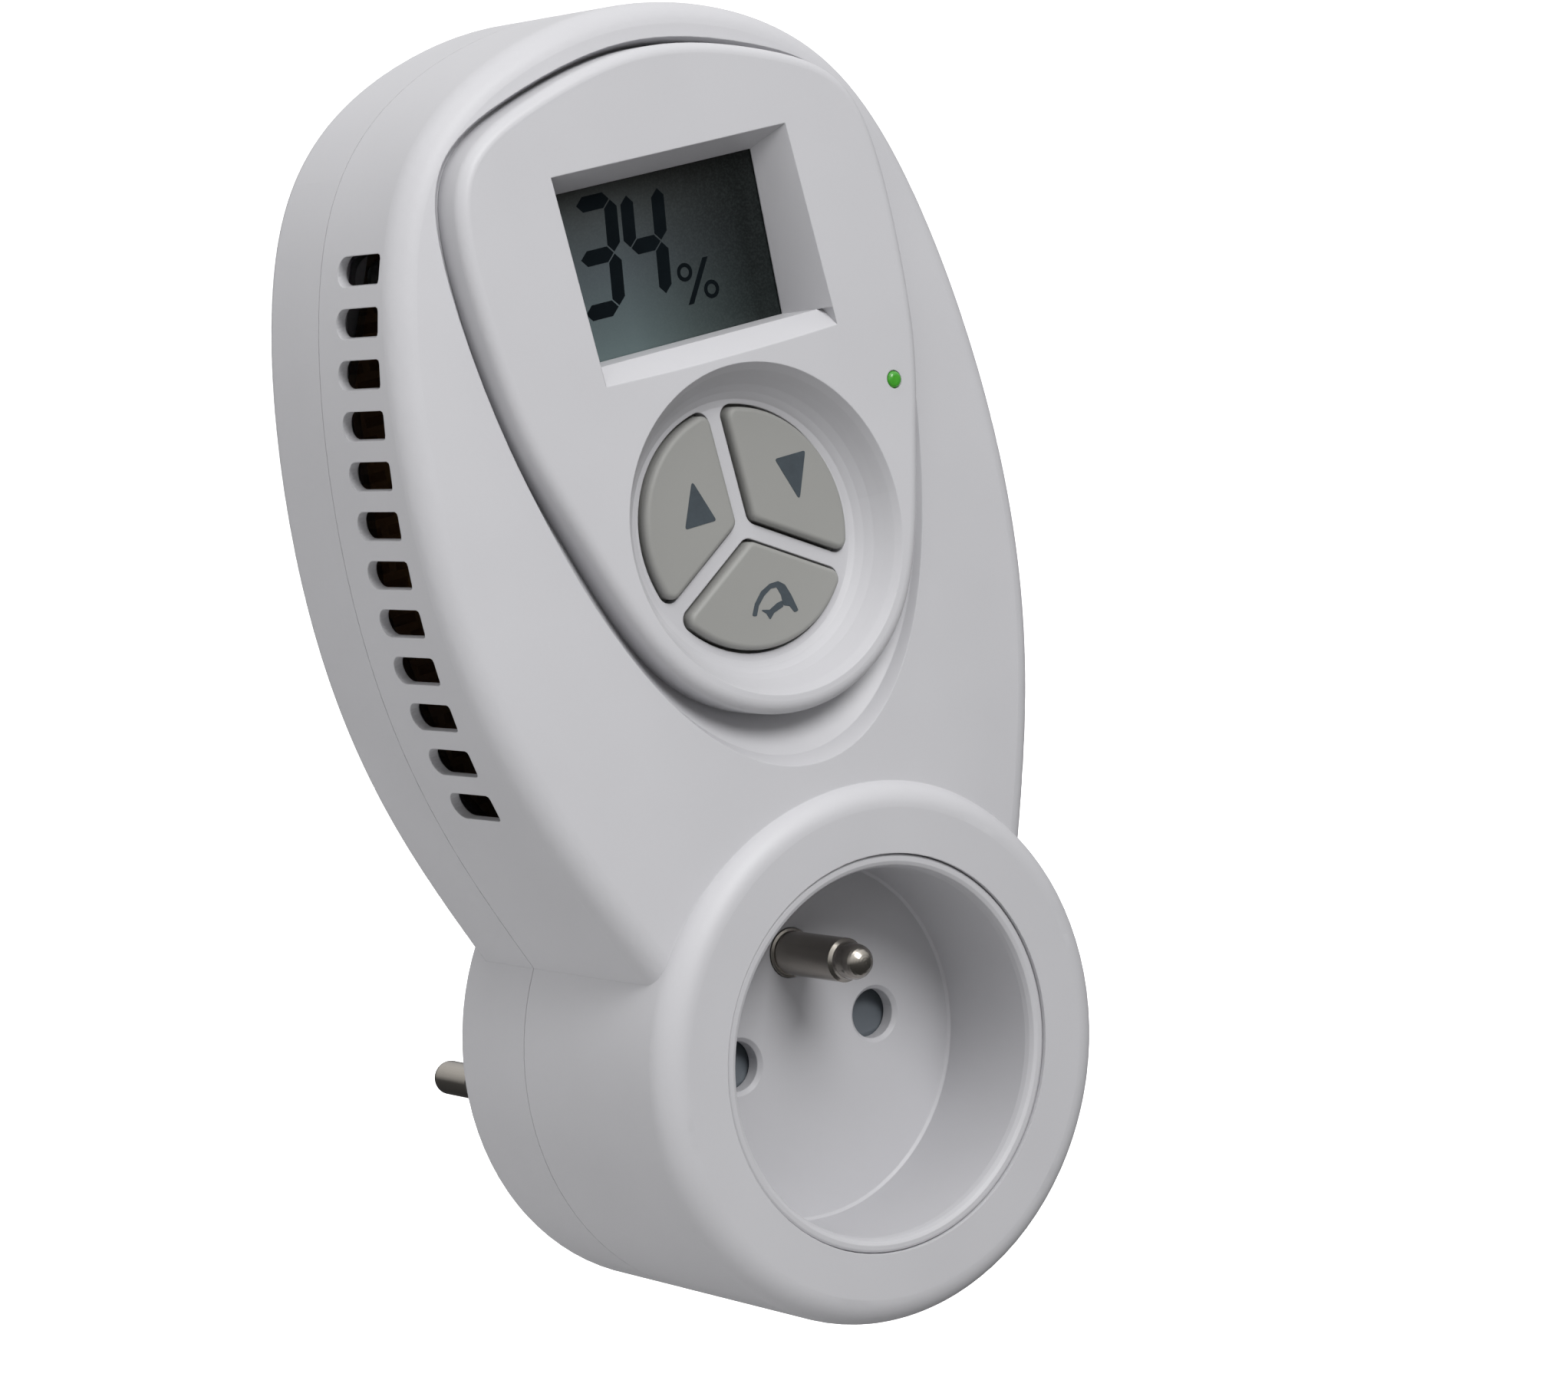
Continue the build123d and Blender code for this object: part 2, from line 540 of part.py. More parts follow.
# ------------------------------------------------------------- socket insert
HOLE_R = 2.75              # contact holes in the recess floor
HOLE_LEAD = 0.45           # chamfer of their mouths
EAR_Y, EAR_BACK_Y = 4.35, 6.3
INSERT_PROFILE = [  # (radius, y)
    (0, FLOOR_Y), (RECESS_R - 0.3, FLOOR_Y), (RECESS_R, FLOOR_Y - 0.3), (RECESS_R, 1.6),
    (RECESS_R + 0.12, 1.0), (RECESS_R + 0.35, 0.5), (RECESS_R + 0.75, 0.3),
    (INSERT_R - 0.38, 0.3), (INSERT_R - 0.14, 0.4), (INSERT_R - 0.05, 0.62),
    (INSERT_R - 0.05, 2.5), (INSERT_R + 0.9, 2.5), (INSERT_R + 0.9, 4.3),
    (RECESS_R + 1.5, 4.3), (RECESS_R + 1.5, INSERT_BACK_Y), (0, INSERT_BACK_Y)]


def socket_insert():
    insert = revolve_y(INSERT_PROFILE, 0, 0)
    for side in SIDES:
        x = side * PIN_X
        insert = insert - cyl_y(x, 0, HOLE_R, FLOOR_Y - 1, INSERT_BACK_Y + 1)
        insert = insert - Solid.make_cone(
            HOLE_R + HOLE_LEAD, HOLE_R, HOLE_LEAD,
            Plane(origin=(x, FLOOR_Y - 0.001, 0), z_dir=(0, 1, 0)))
    insert = insert - cyl_y(0, EARTH_UP, 2.76, FLOOR_Y - 1, INSERT_BACK_Y + 1)
    # guide rails for the shutter, bosses for the block screws, screwed ears
    ear_x, ear_z = EAR
    for side in SIDES:
        insert = insert + box(side * 14.35, side * 16.0, INSERT_BACK_Y - 0.2,
                              INSERT_BACK_Y + 2.6, -12.0, 6.0)
        for x, z in BLOCK_SCREWS:
            insert = insert + cyl_y(side * x, z, 2.4, INSERT_BACK_Y - 0.3, BLOCK_Y)
            insert = insert - cyl_y(side * x, z, PILOT_R, 21.0, BLOCK_Y + 1)
        x = side * ear_x
        insert = (insert + box(side * 20.9, x, EAR_Y, EAR_BACK_Y, ear_z - 2.2, ear_z + 2.2)
                  + cyl_y(x, ear_z, 2.2, EAR_Y, EAR_BACK_Y))
        insert = insert - cyl_y(x, ear_z, 1.3, 4, 7)
    return biggest(insert)


def contact_block():
    """Disc that closes the back of the insert, with a web beside each contact."""
    block = cyl_y(0, 0, 21.0, BLOCK_Y + 0.05, BLOCK_Y + BLOCK_T)
    before, behind = BLOCK_Y - 1, BLOCK_Y + 3
    for side in SIDES:
        block = block - box(side * PIN_X - 3.7, side * PIN_X + 3.7, before, behind, -3.4, 3.4)
        for x, z in BLOCK_SCREWS:
            block = block - cyl_y(side * x, z, 1.3, before, behind)
        block = block + box(side * 5.2, side * 5.75, BLOCK_Y - 8.0, BLOCK_Y + 0.1, -6.0, 6.0)
    return biggest(block - cyl_y(0, EARTH_UP, 2.45, before, behind))


# ------------------------------------------------------------------- shutter
SHUT_Y = INSERT_BACK_Y + 0.2
SHUT_T = 2.0
SHUT_TOE_Z = -6.6          # foot of the shutter, top of the spring
SPRING_Y = SHUT_Y + 1.7
SPRING_LOW = -16.4
SPRING_TURNS = 6
SPRING_WIRE_R = 0.22
SPRING_R = 1.35


def socket_shutter():
    """Plate with a ramp over each contact hole and a toe on the spring."""
    shutter = box(-14.1, 14.1, SHUT_Y, SHUT_Y + SHUT_T, -4.6, 4.2)
    shutter = shutter - box(-3.6, 3.6, SHUT_Y - 1, SHUT_Y + SHUT_T + 1, 2.6, 6)
    ramp = [(SHUT_Y - 0.01, 3.3), (SHUT_Y - 0.01, -2.4), (SHUT_Y + 1.3, 3.3)]
    for side in SIDES:
        shutter = shutter - prism_x(ramp, side * PIN_X - 3.2, side * PIN_X + 3.2)
    return biggest(shutter + box(-2.2, 2.2, SHUT_Y, SHUT_Y + SHUT_T, SHUT_TOE_Z, -4.5))


def shutter_spring():
    rise = SHUT_TOE_Z - SPRING_LOW - 2 * SPRING_WIRE_R
    helix = Edge.make_helix(pitch=rise / SPRING_TURNS, height=rise, radius=SPRING_R,
                            center=(0, SPRING_Y, SPRING_LOW + SPRING_WIRE_R),
                            normal=(0, 0, 1))
    with BuildPart() as spring:
        with BuildLine():
            add(helix)
        with BuildSketch(Plane(origin=helix @ 0, z_dir=helix % 0)):
            Circle(SPRING_WIRE_R)
        sweep()
    return biggest(spring.part)


def shutter_carrier():
    """Bracket under the spring, with a peg inside the coil."""
    carrier = box(-3.4, 3.4, INSERT_BACK_Y, SHUT_Y + 4.4, -18.4, -16.45)
    carrier = carrier + box(-3.4, 3.4, SHUT_Y + 3.6, SHUT_Y + 4.4, -16.5, -9.6)
    return biggest(carrier + cyl_z(0, SPRING_Y, 0.9, -16.5, -14.6))


# ---------------------------------------------------------- live and neutral
PIN_END_R = 2.02           # slimmer, round-nosed end of the plug pins
NOSE_R = 1.3               # rounding of the nose
PIN_TAIL_R = 1.9           # front end, held in a busbar
STRIP_Y = 32.05            # front of the busbars at the contacts
FEED_Y = 26.2              # foremost run of the feed strips
PLUG_BAR_Y, PLUG_BAR_BACK_Y = 33.25, 34.15   # flat bars at the plug pins


def contact(side):
    """Window frame with two sprung leaves reaching forward."""
    x = side * PIN_X
    frame = box(x - 3.4, x + 3.4, 31.0, 32.0, -4.2, 4.2)
    frame = frame - box(x - 2.6, x + 2.6, 30, 33, -2.6, 2.6)
    leaf = [(3.4, 32.0), (2.6, 32.0), (2.6, 24.5), (2.35, 22.6),   # (offset from x, y)
            (2.9, 20.6), (3.5, 20.6), (3.15, 22.6), (3.4, 24.5)]
    for hand in SIDES:
        frame = frame + pull([(x + hand * offset, y, -3.2) for offset, y in leaf], (0, 0, 6.4))
    return biggest(frame)


def plug_pin(side):
    tip = FACE_Y + PLUG_PIN_OUT
    radius, collar_r = PLUG_PIN_R, PLUG_PIN_R + 0.9
    profile = [(0, 33.4), (PIN_TAIL_R, 33.4), (PIN_TAIL_R, 34.6), (radius, 34.6),
               (radius, 54.6), (collar_r, 54.6), (collar_r, 55.25), (radius, 55.25),
               (radius, tip - 9.0), (PIN_END_R, tip - 7.6)]
    for k in range(9):
        angle = math.radians(90 - k * 11.25)
        profile.append((PIN_END_R - NOSE_R + NOSE_R * math.sin(angle),
                        tip - NOSE_R + NOSE_R * math.cos(angle)))
    profile.append((0, tip))
    return revolve_y(profile, side * PIN_X, PLUG_Z)


def feed(side):
    """Strip from a socket contact up to the front of the main board."""
    back = STRIP_Y + 1.0
    inner, outer = side * 11.3, side * 12.3
    strip = box(side * 6.0, side * 13.0, STRIP_Y, back, -4.2, 4.2)
    strip = (strip + box(inner, outer, STRIP_Y, back, 3.9, 20.9)
             + box(inner, outer, FEED_Y, back, 19.4, 20.9))
    strip = (strip + box(inner, outer, FEED_Y, FEED_Y + 1.0, 19.4, 30.0)
             + box(inner, outer, FEED_Y, MAIN_BOARD_Y, 28.6, 30.0))
    return strip - box(side * PIN_X - 2.6, side * PIN_X + 2.6, 30, 35, -2.6, 2.6)


def pin_tail_hole(side):
    return cyl_y(side * PIN_X, PLUG_Z, PIN_TAIL_R + 0.02, 30, 36)


def neutral_busbar():
    """Left-hand feed that also goes straight down to its plug pin."""
    bar = (feed(-1) + box(-12.3, -6.7, STRIP_Y, PLUG_BAR_BACK_Y, -5.2, -4.15)
           + box(-12.3, -6.7, PLUG_BAR_Y, PLUG_BAR_BACK_Y, -11.0, -4.2))
    return biggest(bar - pin_tail_hole(-1))


def live_return_busbar():
    """From the main board down to the right-hand plug pin."""
    front, back = PLUG_BAR_Y, PLUG_BAR_BACK_Y
    bar = box(6.7, 12.6, front, back, -11.0, -5.2) - pin_tail_hole(1)
    bar = (bar + box(12.55, 17.6, front, back, -10.2, -8.6)
           + box(16.2, 17.6, front, back, -10.2, 26.0))
    return biggest(bar + box(16.2, 17.6, 30.3, back, 25.0, 26.0))


# --------------------------------------------------------------- earth parts
EARTH_R = 2.4              # shank of the socket's earth pin
EARTH_BORE_R = EARTH_R + 0.02
EARTH_PIN_OUT = 13.5       # earth pin ahead of the recess floor
BALL_R = 1.95              # round nose of the earth pin
EARTH_BACK_Y = EARTH_PLATE_Y + EARTH_PLATE_T
CLIP_Y = EARTH_BACK_Y + 0.02
CLIP_T = 0.45
CLIP_LINE = [  # (y, distance from the plug centre) along a clip's outer face
    (CLIP_Y, 15.7), (37.0, 15.8), (41.5, 16.9), (43.0, 17.5), (46.0, 18.3), (49.5, 18.55),
    (53.0, 18.0), (55.2, 17.1), (56.4, 16.9)]


def socket_earth_pin():
    tip = FLOOR_Y - EARTH_PIN_OUT
    turns = [math.radians(k * 9) for k in range(11)]
    nose = [(BALL_R * math.sin(turn), tip + BALL_R * (1 - math.cos(turn))) for turn in turns]
    shank = [(BALL_R, tip + 2.9), (2.05, tip + 3.25), (EARTH_R, tip + 3.6),
             (EARTH_R, FLOOR_Y - 0.25), (2.7, FLOOR_Y - 0.15), (2.7, 17.5),
             (EARTH_R, 17.6), (EARTH_R, 31.8), (1.8, 32.2), (1.8, EARTH_PLATE_Y),
             (0, EARTH_PLATE_Y)]
    return revolve_y(nose + shank, 0, EARTH_UP)


def earth_strap():
    strap = box(-3.6, 3.6, EARTH_PLATE_Y, EARTH_BACK_Y, -24.2, 13.2)
    return biggest(strap - cyl_y(0, PLUG_EARTH_Z, EARTH_BORE_R, 30, 40))


def plug_earth_tube():
    return revolve_y([(EARTH_BORE_R, EARTH_BACK_Y), (3.2, EARTH_BACK_Y), (3.2, FACE_Y - 0.9),
                      (2.62, FACE_Y - 0.9), (EARTH_BORE_R, FACE_Y - 1.6)], 0, PLUG_EARTH_Z)


def earth_clip(up):
    """One sprung earth contact, its middle bowed out of the boss wall."""
    points = [(y, PLUG_Z + up * out) for y, out in CLIP_LINE]
    points += [(y, PLUG_Z + up * (out - CLIP_T)) for y, out in reversed(CLIP_LINE)]
    clip = prism_x(points, -2.4, 2.4)
    return biggest(clip + box(-2.4, 2.4, CLIP_Y, CLIP_Y + CLIP_T,
                              PLUG_Z + up * 13.5, PLUG_Z + up * 15.7))


# ------------------------------------------------------------- display stack
SWITCH_H = 3.5
DISPLAY_BACK_Y = DISPLAY_BOARD_Y + BOARD_T
GLASS_FRONT_Y = GLASS_Y + 0.05
DISPLAY_OUTLINE = [  # (x, z)
    (-24.0, 75.0), (-24.0, 94.0), (-22.2, 95.8), (-22.2, 102.5), (22.2, 102.5), (22.2, 95.8),
    (24.0, 94.0), (24.0, 75.0), (24.0, 66.5), (17.5, 38.0), (-17.5, 38.0), (-24.0, 66.5)]


def display_board():
    board = prism_y(DISPLAY_OUTLINE, DISPLAY_BOARD_Y, DISPLAY_BACK_Y)
    board = board.fillet(1.0, through_edges(board, BOARD_T))
    for x, z in DISPLAY_SCREWS:
        board = board - cyl_y(x, z, 1.25, 10, 22)
    return biggest(board)


def lcd_glass():
    glass = box(-15.8, 15.8, GLASS_FRONT_Y, GLASS_FRONT_Y + 2.0, 74.4, 97.6)
    return glass.chamfer(0.15, None, front_edges(glass, GLASS_FRONT_Y + 0.01))


def lcd_frame():
    """Frame behind the glass with a low rim round it and two connector slots."""
    half, low, top = 17.2, 72.9, 99.1
    in_half, in_low, in_top = 15.9, 74.3, 97.7
    frame = (box(-half, half, GLASS_Y + 2.1, DISPLAY_BOARD_Y, low, top)
             - box(-14.6, 14.6, 10, 20, 77.4, 94.6))
    frame = (frame - box(-13.8, 13.8, GLASS_Y + 2, 20, in_low, 76.5)
             - box(-13.8, 13.8, GLASS_Y + 2, 20, 95.5, in_top))
    for x_a, x_b, z_a, z_b in ((-half, -in_half, low, top), (in_half, half, low, top),
                               (-half, half, low, in_low), (-half, half, in_top, top)):
        frame = frame + box(x_a, x_b, GLASS_Y + 0.9, GLASS_Y + 2.2, z_a, z_b)
    return biggest(frame)


def lcd_connectors():
    return Compound(children=[
        box(-13.6, 13.6, GLASS_Y + 2.06, DISPLAY_BOARD_Y, z, z + 1.9) for z in (74.45, 95.65)])


def indicator_led():
    led = cyl_y(LED_X, LED_Z, LED_R, plane_y(LED_Z) - 0.1, DISPLAY_BOARD_Y)
    return led.fillet(0.5, front_edges(led, plane_y(LED_Z)))


def tact_switch(angle):
    """Body of the push switch behind a key, with four legs."""
    x, z = stem_place(angle)
    front = DISPLAY_BOARD_Y - SWITCH_H
    body = box(x - 3.0, x + 3.0, front, DISPLAY_BOARD_Y, z - 3.0, z + 3.0)
    body = body.fillet(0.5, through_edges(body, SWITCH_H))
    body = body - cyl_y(x, z, 1.85, front - 1, DISPLAY_BOARD_Y - 0.7)
    for side in SIDES:
        for up in SIDES:
            leg_z = z + up * 1.8
            body = body + box(x + side * 2.9, x + side * 3.5, DISPLAY_BOARD_Y - 1.6,
                              DISPLAY_BOARD_Y, leg_z - 0.35, leg_z + 0.35)
    return biggest(body)


def plunger(angle):
    front = STEM_END_Y + 0.02
    stem = cyl_y(*stem_place(angle), 1.75, front, DISPLAY_BOARD_Y - 1.1)
    return stem.fillet(0.25, front_edges(stem, front + 0.03))


# ---------------------------------------------------------------- main board
FUSE_X, FUSE_Y = 21.0, MAIN_BOARD_Y - 4.6
MAIN_OUTLINE = [  # (x, z)
    (-26.5, 36.0), (-30.5, 56.0), (-28.6, 80.0), (-20.5, 98.0), (-14.0, 104.0), (14.0, 104.0),
    (20.5, 98.0), (28.6, 80.0), (30.5, 56.0), (26.5, 36.0), (18.2, 21.5), (-18.2, 21.5)]


def main_board():
    board = prism_y(MAIN_OUTLINE, MAIN_BOARD_Y, MAIN_BOARD_Y + BOARD_T)
    board = board.fillet(2.0, through_edges(board, BOARD_T))
    for x, z in MAIN_SCREWS:
        board = board - cyl_y(x, z, 1.4, 30, 36)
    return biggest(board - box(16.0, 17.8, 30, 35, 24.8, 26.2))


def board_block(x_a, x_b, height, z_a, z_b, rounding):
    """Block on the main board, rounded on all edges but those at the board."""
    block = box(x_a, x_b, MAIN_BOARD_Y - height, MAIN_BOARD_Y, z_a, z_b)
    return block.fillet(rounding, front_edges(block, MAIN_BOARD_Y - 0.1))


def round_capacitor(x, z, radius, height, rim_r):
    """Can with a groove near the board and a shallow dished end."""
    profile = [  # (radius, height above the board)
        (0, 0), (radius - 0.1, 0), (radius, 0.2), (radius, 1.2), (radius - 0.25, 1.6),
        (radius, 2.0), (radius, height - 0.4), (radius - 0.3, height), (rim_r, height),
        (rim_r - 0.2, height - 0.2), (0, height - 0.2)]
    return revolve_y([(out, MAIN_BOARD_Y - rise) for out, rise in profile], x, z)


def varistor():
    x = -16.0
    disc = cyl_z(x, MAIN_BOARD_Y - 6.6, 4.6, 44.6, 48.2)
    disc = disc.fillet(1.2, [e for e in disc.edges() if e.geom_type == GeomType.CIRCLE])
    for leg_x in (x - 2.5, x + 2.5):
        disc = disc + box(leg_x - 0.3, leg_x + 0.3, MAIN_BOARD_Y - 4.4, MAIN_BOARD_Y,
                          46.1, 46.7)
    return biggest(disc)


def mains_fuse():
    """Hollow barrel with a thin wire along its middle."""
    fuse = cyl_z(FUSE_X, FUSE_Y, 2.5, 57.0, 77.0)
    return biggest(fuse - cyl_z(FUSE_X, FUSE_Y, 1.9, 58.0, 76.0)
                   + cyl_z(FUSE_X, FUSE_Y, 0.15, 57.5, 76.5))


def fuse_clip(z):
    """Ring open to the front, on a foot."""
    left, right, top = FUSE_X - 1.6, FUSE_X + 1.6, z + 4.5
    bore = cyl_z(FUSE_X, FUSE_Y, 2.53, z - 1, z + 6)
    ring = cyl_z(FUSE_X, FUSE_Y, 3.0, z, top) - bore
    ring = ring - box(left, right, MAIN_BOARD_Y - 9, MAIN_BOARD_Y - 6.2, z - 1, z + 6)
    return biggest(ring + (box(left, right, MAIN_BOARD_Y - 2.1, MAIN_BOARD_Y, z, top) - bore))


def humidity_sensor():
    """Block with a blind round hole in its right-hand face."""
    block = box(25.2, 28.6, MAIN_BOARD_Y - 4.2, MAIN_BOARD_Y, 61.0, 66.0)
    hole = Plane(origin=(28.0, MAIN_BOARD_Y - 2.3, 63.5), z_dir=(1, 0, 0))
    return biggest(block - Solid.make_cylinder(1.2, 0.8, hole))


def board_link():
    """Six-pin header between the two boards."""
    pitch, half = 2.54, 0.32
    link = box(-7.5, 7.5, DISPLAY_BACK_Y, DISPLAY_BACK_Y + 2.4, 84.0, 86.5)
    for k in range(6):
        x = (k - 2.5) * pitch
        link = link + box(x - half, x + half, DISPLAY_BACK_Y, MAIN_BOARD_Y, 84.93, 85.57)
    return biggest(link)


# -------------------------------------------------------------------- screws
CASE_SCREW = dict(head_r=2.7, shank_r=1.28, head_h=2.08)
SMALL_SCREW = dict(head_r=2.1, shank_r=1.08, head_h=1.23)


def screw(x, z, seat_y, length, toward, head_r, shank_r, head_h):
    """Cross-slotted screw along Y; toward is +1 when the tip points to +Y."""
    head_y = seat_y - toward * (SCREW_GAP + head_h)
    profile = [  # (radius, distance from the head's top)
        (0, 0), (head_r - 0.4, 0), (head_r, 0.45), (head_r, head_h), (shank_r, head_h),
        (shank_r, head_h + length - 0.8), (0.3, head_h + length), (0, head_h + length)]
    body = revolve_y([(radius, head_y + toward * along) for radius, along in profile], x, z)
    top, bottom = head_y - toward * 0.1, head_y + toward * head_h * 0.6
    reach, half = head_r * 0.62, 0.28
    body = body - box(x - reach, x + reach, top, bottom, z - half, z + half)
    body = body - box(x - half, x + half, top, bottom, z - reach, z + reach)
    return biggest(body)


def casing_screws():
    screws = []
    for place, back in ((POST_TOP, BACK_Y), (POST_LOW, SOCKET_BACK_Y)):
        seat = back - SCREW_SINK
        screws += [screw(x, z, seat, seat - 18.5, -1, **CASE_SCREW)
                   for x, z in both_sides(place)]
    return Compound(children=screws)


def board_screws():
    screws = [screw(x, z, DISPLAY_BACK_Y, BOARD_T + 4.2, -1, **SMALL_SCREW)
              for x, z in DISPLAY_SCREWS]
    screws += [screw(x, z, MAIN_BOARD_Y, BOARD_T + 1.9, 1, **SMALL_SCREW)
               for x, z in MAIN_SCREWS]
    return Compound(children=screws)


def insert_screws():
    screws = [screw(x, z, EAR_BACK_Y, 4.7, -1, **SMALL_SCREW) for x, z in both_sides(EAR)]
    screws += [screw(x, z, BLOCK_Y + BLOCK_T, 7.5, -1, **SMALL_SCREW)
               for x, z in both_sides(*BLOCK_SCREWS)]
    return Compound(children=screws)


# ------------------------------------------------------------------- exports
parts = {
    "front_shell": front_shell(),
    "rear_shell": rear_shell(),
    "front_panel": front_panel(),
    "socket_insert": socket_insert(),
    "contact_block": contact_block(),
    "socket_earth_pin": socket_earth_pin(),
    "socket_shutter": socket_shutter(),
    "shutter_spring": shutter_spring(),
    "shutter_carrier": shutter_carrier(),
    "socket_contact_left": contact(-1),
    "socket_contact_right": contact(1),
    "plug_pin_left": plug_pin(-1),
    "plug_pin_right": plug_pin(1),
    "neutral_busbar": neutral_busbar(),
    "live_busbar": biggest(feed(1)),
    "live_return_busbar": live_return_busbar(),
    "earth_strap": earth_strap(),
    "plug_earth_tube": plug_earth_tube(),
    "plug_earth_clips": Compound(children=[earth_clip(up) for up in SIDES]),
    "display_board": display_board(),
    "lcd_glass": lcd_glass(),
    "lcd_frame": lcd_frame(),
    "lcd_connectors": lcd_connectors(),
    "indicator_led": indicator_led(),
    "tact_switches": Compound(children=[tact_switch(a) for a in KEY_ANGLES.values()]),
    "main_board": main_board(),
    "power_relay": board_block(-8.5, 7.5, 11.2, 34.0, 56.0, rounding=0.8),
    "dropper_capacitor": board_block(-21.5, -12.0, 11.0, 53.0, 71.0, rounding=0.9),
    "smoothing_capacitors": Compound(children=[
        round_capacitor(12.5, 74.0, radius=4.0, height=11.0, rim_r=3.2),
        round_capacitor(2.6, 74.0, radius=3.5, height=9.4, rim_r=2.8)]),
    "varistor": varistor(),
    "mains_fuse": mains_fuse(),
    "fuse_clips": Compound(children=[fuse_clip(57.4), fuse_clip(72.1)]),
    "humidity_sensor": humidity_sensor(),
    "board_link": board_link(),
    "casing_screws": casing_screws(),
    "board_screws": board_screws(),
    "insert_screws": insert_screws(),
}
for name, angle in KEY_ANGLES.items():
    parts[name] = key(angle)
    parts[name.replace("key_", "plunger_")] = plunger(angle)

to_plug_face = Location((0, -FACE_Y, -PLUG_Z))
for name, shape in parts.items():
    export_step(shape.moved(to_plug_face), os.path.join("parts", name + ".step"))
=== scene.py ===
"""Wall unit with a display, three keys and a socket, standing in a pale studio.

Metres, +Z up. The front faces -Y and +X is to the right seen from the front.
The CAD pieces are loaded and given materials; the key symbols and the display
segments are added as thin plates. Sizes of those plates are in millimetres,
in socket-front coordinates (see point).
"""
import bpy
import bmesh
import json
import math
from mathutils import Matrix, Vector


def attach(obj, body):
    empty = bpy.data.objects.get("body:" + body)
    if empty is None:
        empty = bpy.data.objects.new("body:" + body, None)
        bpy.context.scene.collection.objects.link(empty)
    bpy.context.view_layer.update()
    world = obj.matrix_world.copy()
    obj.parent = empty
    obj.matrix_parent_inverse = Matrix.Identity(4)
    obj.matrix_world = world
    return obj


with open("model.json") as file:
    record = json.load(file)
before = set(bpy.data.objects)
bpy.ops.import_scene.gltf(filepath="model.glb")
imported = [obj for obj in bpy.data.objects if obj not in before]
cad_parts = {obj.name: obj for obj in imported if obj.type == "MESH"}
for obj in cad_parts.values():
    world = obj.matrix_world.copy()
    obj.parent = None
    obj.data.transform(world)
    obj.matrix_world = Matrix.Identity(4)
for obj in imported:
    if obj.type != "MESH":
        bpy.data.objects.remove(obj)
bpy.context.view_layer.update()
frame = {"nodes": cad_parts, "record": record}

MM = 0.001


# ------------------------------------------------------------- colours
def linear(level):
    """sRGB level 0..255 to linear."""
    share = level / 255.0
    return share / 12.92 if share <= 0.04045 else ((share + 0.055) / 1.055) ** 2.4


def rgb(*levels):
    return tuple(linear(level) for level in levels)


def scaled(color, factor):
    return tuple(min(1.0, channel * factor) for channel in color)


# ------------------------------------------------------------- node helpers
class Graph:
    """Short calls that add shader nodes to one node tree and return their outputs."""

    def __init__(self, tree):
        self.tree = tree

    def feed(self, socket, value):
        """Link a socket, or set a plain value; colours may leave out their alpha."""
        if isinstance(value, bpy.types.NodeSocket):
            self.tree.links.new(value, socket)
        elif socket.type == "RGBA" and len(value) == 3:
            socket.default_value = tuple(value) + (1,)
        else:
            socket.default_value = value

    def node(self, kind, inputs=None, **settings):
        node = self.tree.nodes.new(kind)
        for key, value in settings.items():
            setattr(node, key, value)
        for key, value in (inputs or {}).items():
            self.feed(node.inputs[key], value)
        return node

    def axes(self, vector):
        return self.node("ShaderNodeSeparateXYZ", {0: vector}).outputs

    def ramp(self, value, stops):
        """Colour ramp; each stop is (position, colour)."""
        node = self.node("ShaderNodeValToRGB", {"Fac": value})
        elements = node.color_ramp.elements
        for element, (position, color) in zip(elements, (stops[0], stops[-1])):
            element.position = position
            element.color = tuple(color) + (1,)
        for position, color in stops[1:-1]:
            elements.new(position).color = tuple(color) + (1,)
        return node.outputs["Color"]

    def remap(self, value, to=(0.0, 1.0), span=(0.0, 1.0)):
        """Carry the range span of a value over to the range to."""
        inputs = {"Value": value, "From Min": span[0], "From Max": span[1],
                  "To Min": to[0], "To Max": to[1]}
        return self.node("ShaderNodeMapRange", inputs).outputs["Result"]

    def math(self, operation, first, second):
        inputs = {0: first, 1: second}
        return self.node("ShaderNodeMath", inputs, operation=operation).outputs[0]

    def add(self, first, second):
        return self.math("ADD", first, second)

    def times(self, value, factor):
        return self.math("MULTIPLY", value, factor)

    def mix(self, share, under, over, mode="MIX"):
        """Colour mix."""
        inputs = {0: share, 6: under, 7: over}
        node = self.node("ShaderNodeMix", inputs, data_type="RGBA", blend_type=mode)
        return node.outputs[2]

    def mix_float(self, share, under, over):
        inputs = {0: share, 2: under, 3: over}
        return self.node("ShaderNodeMix", inputs, data_type="FLOAT").outputs[0]


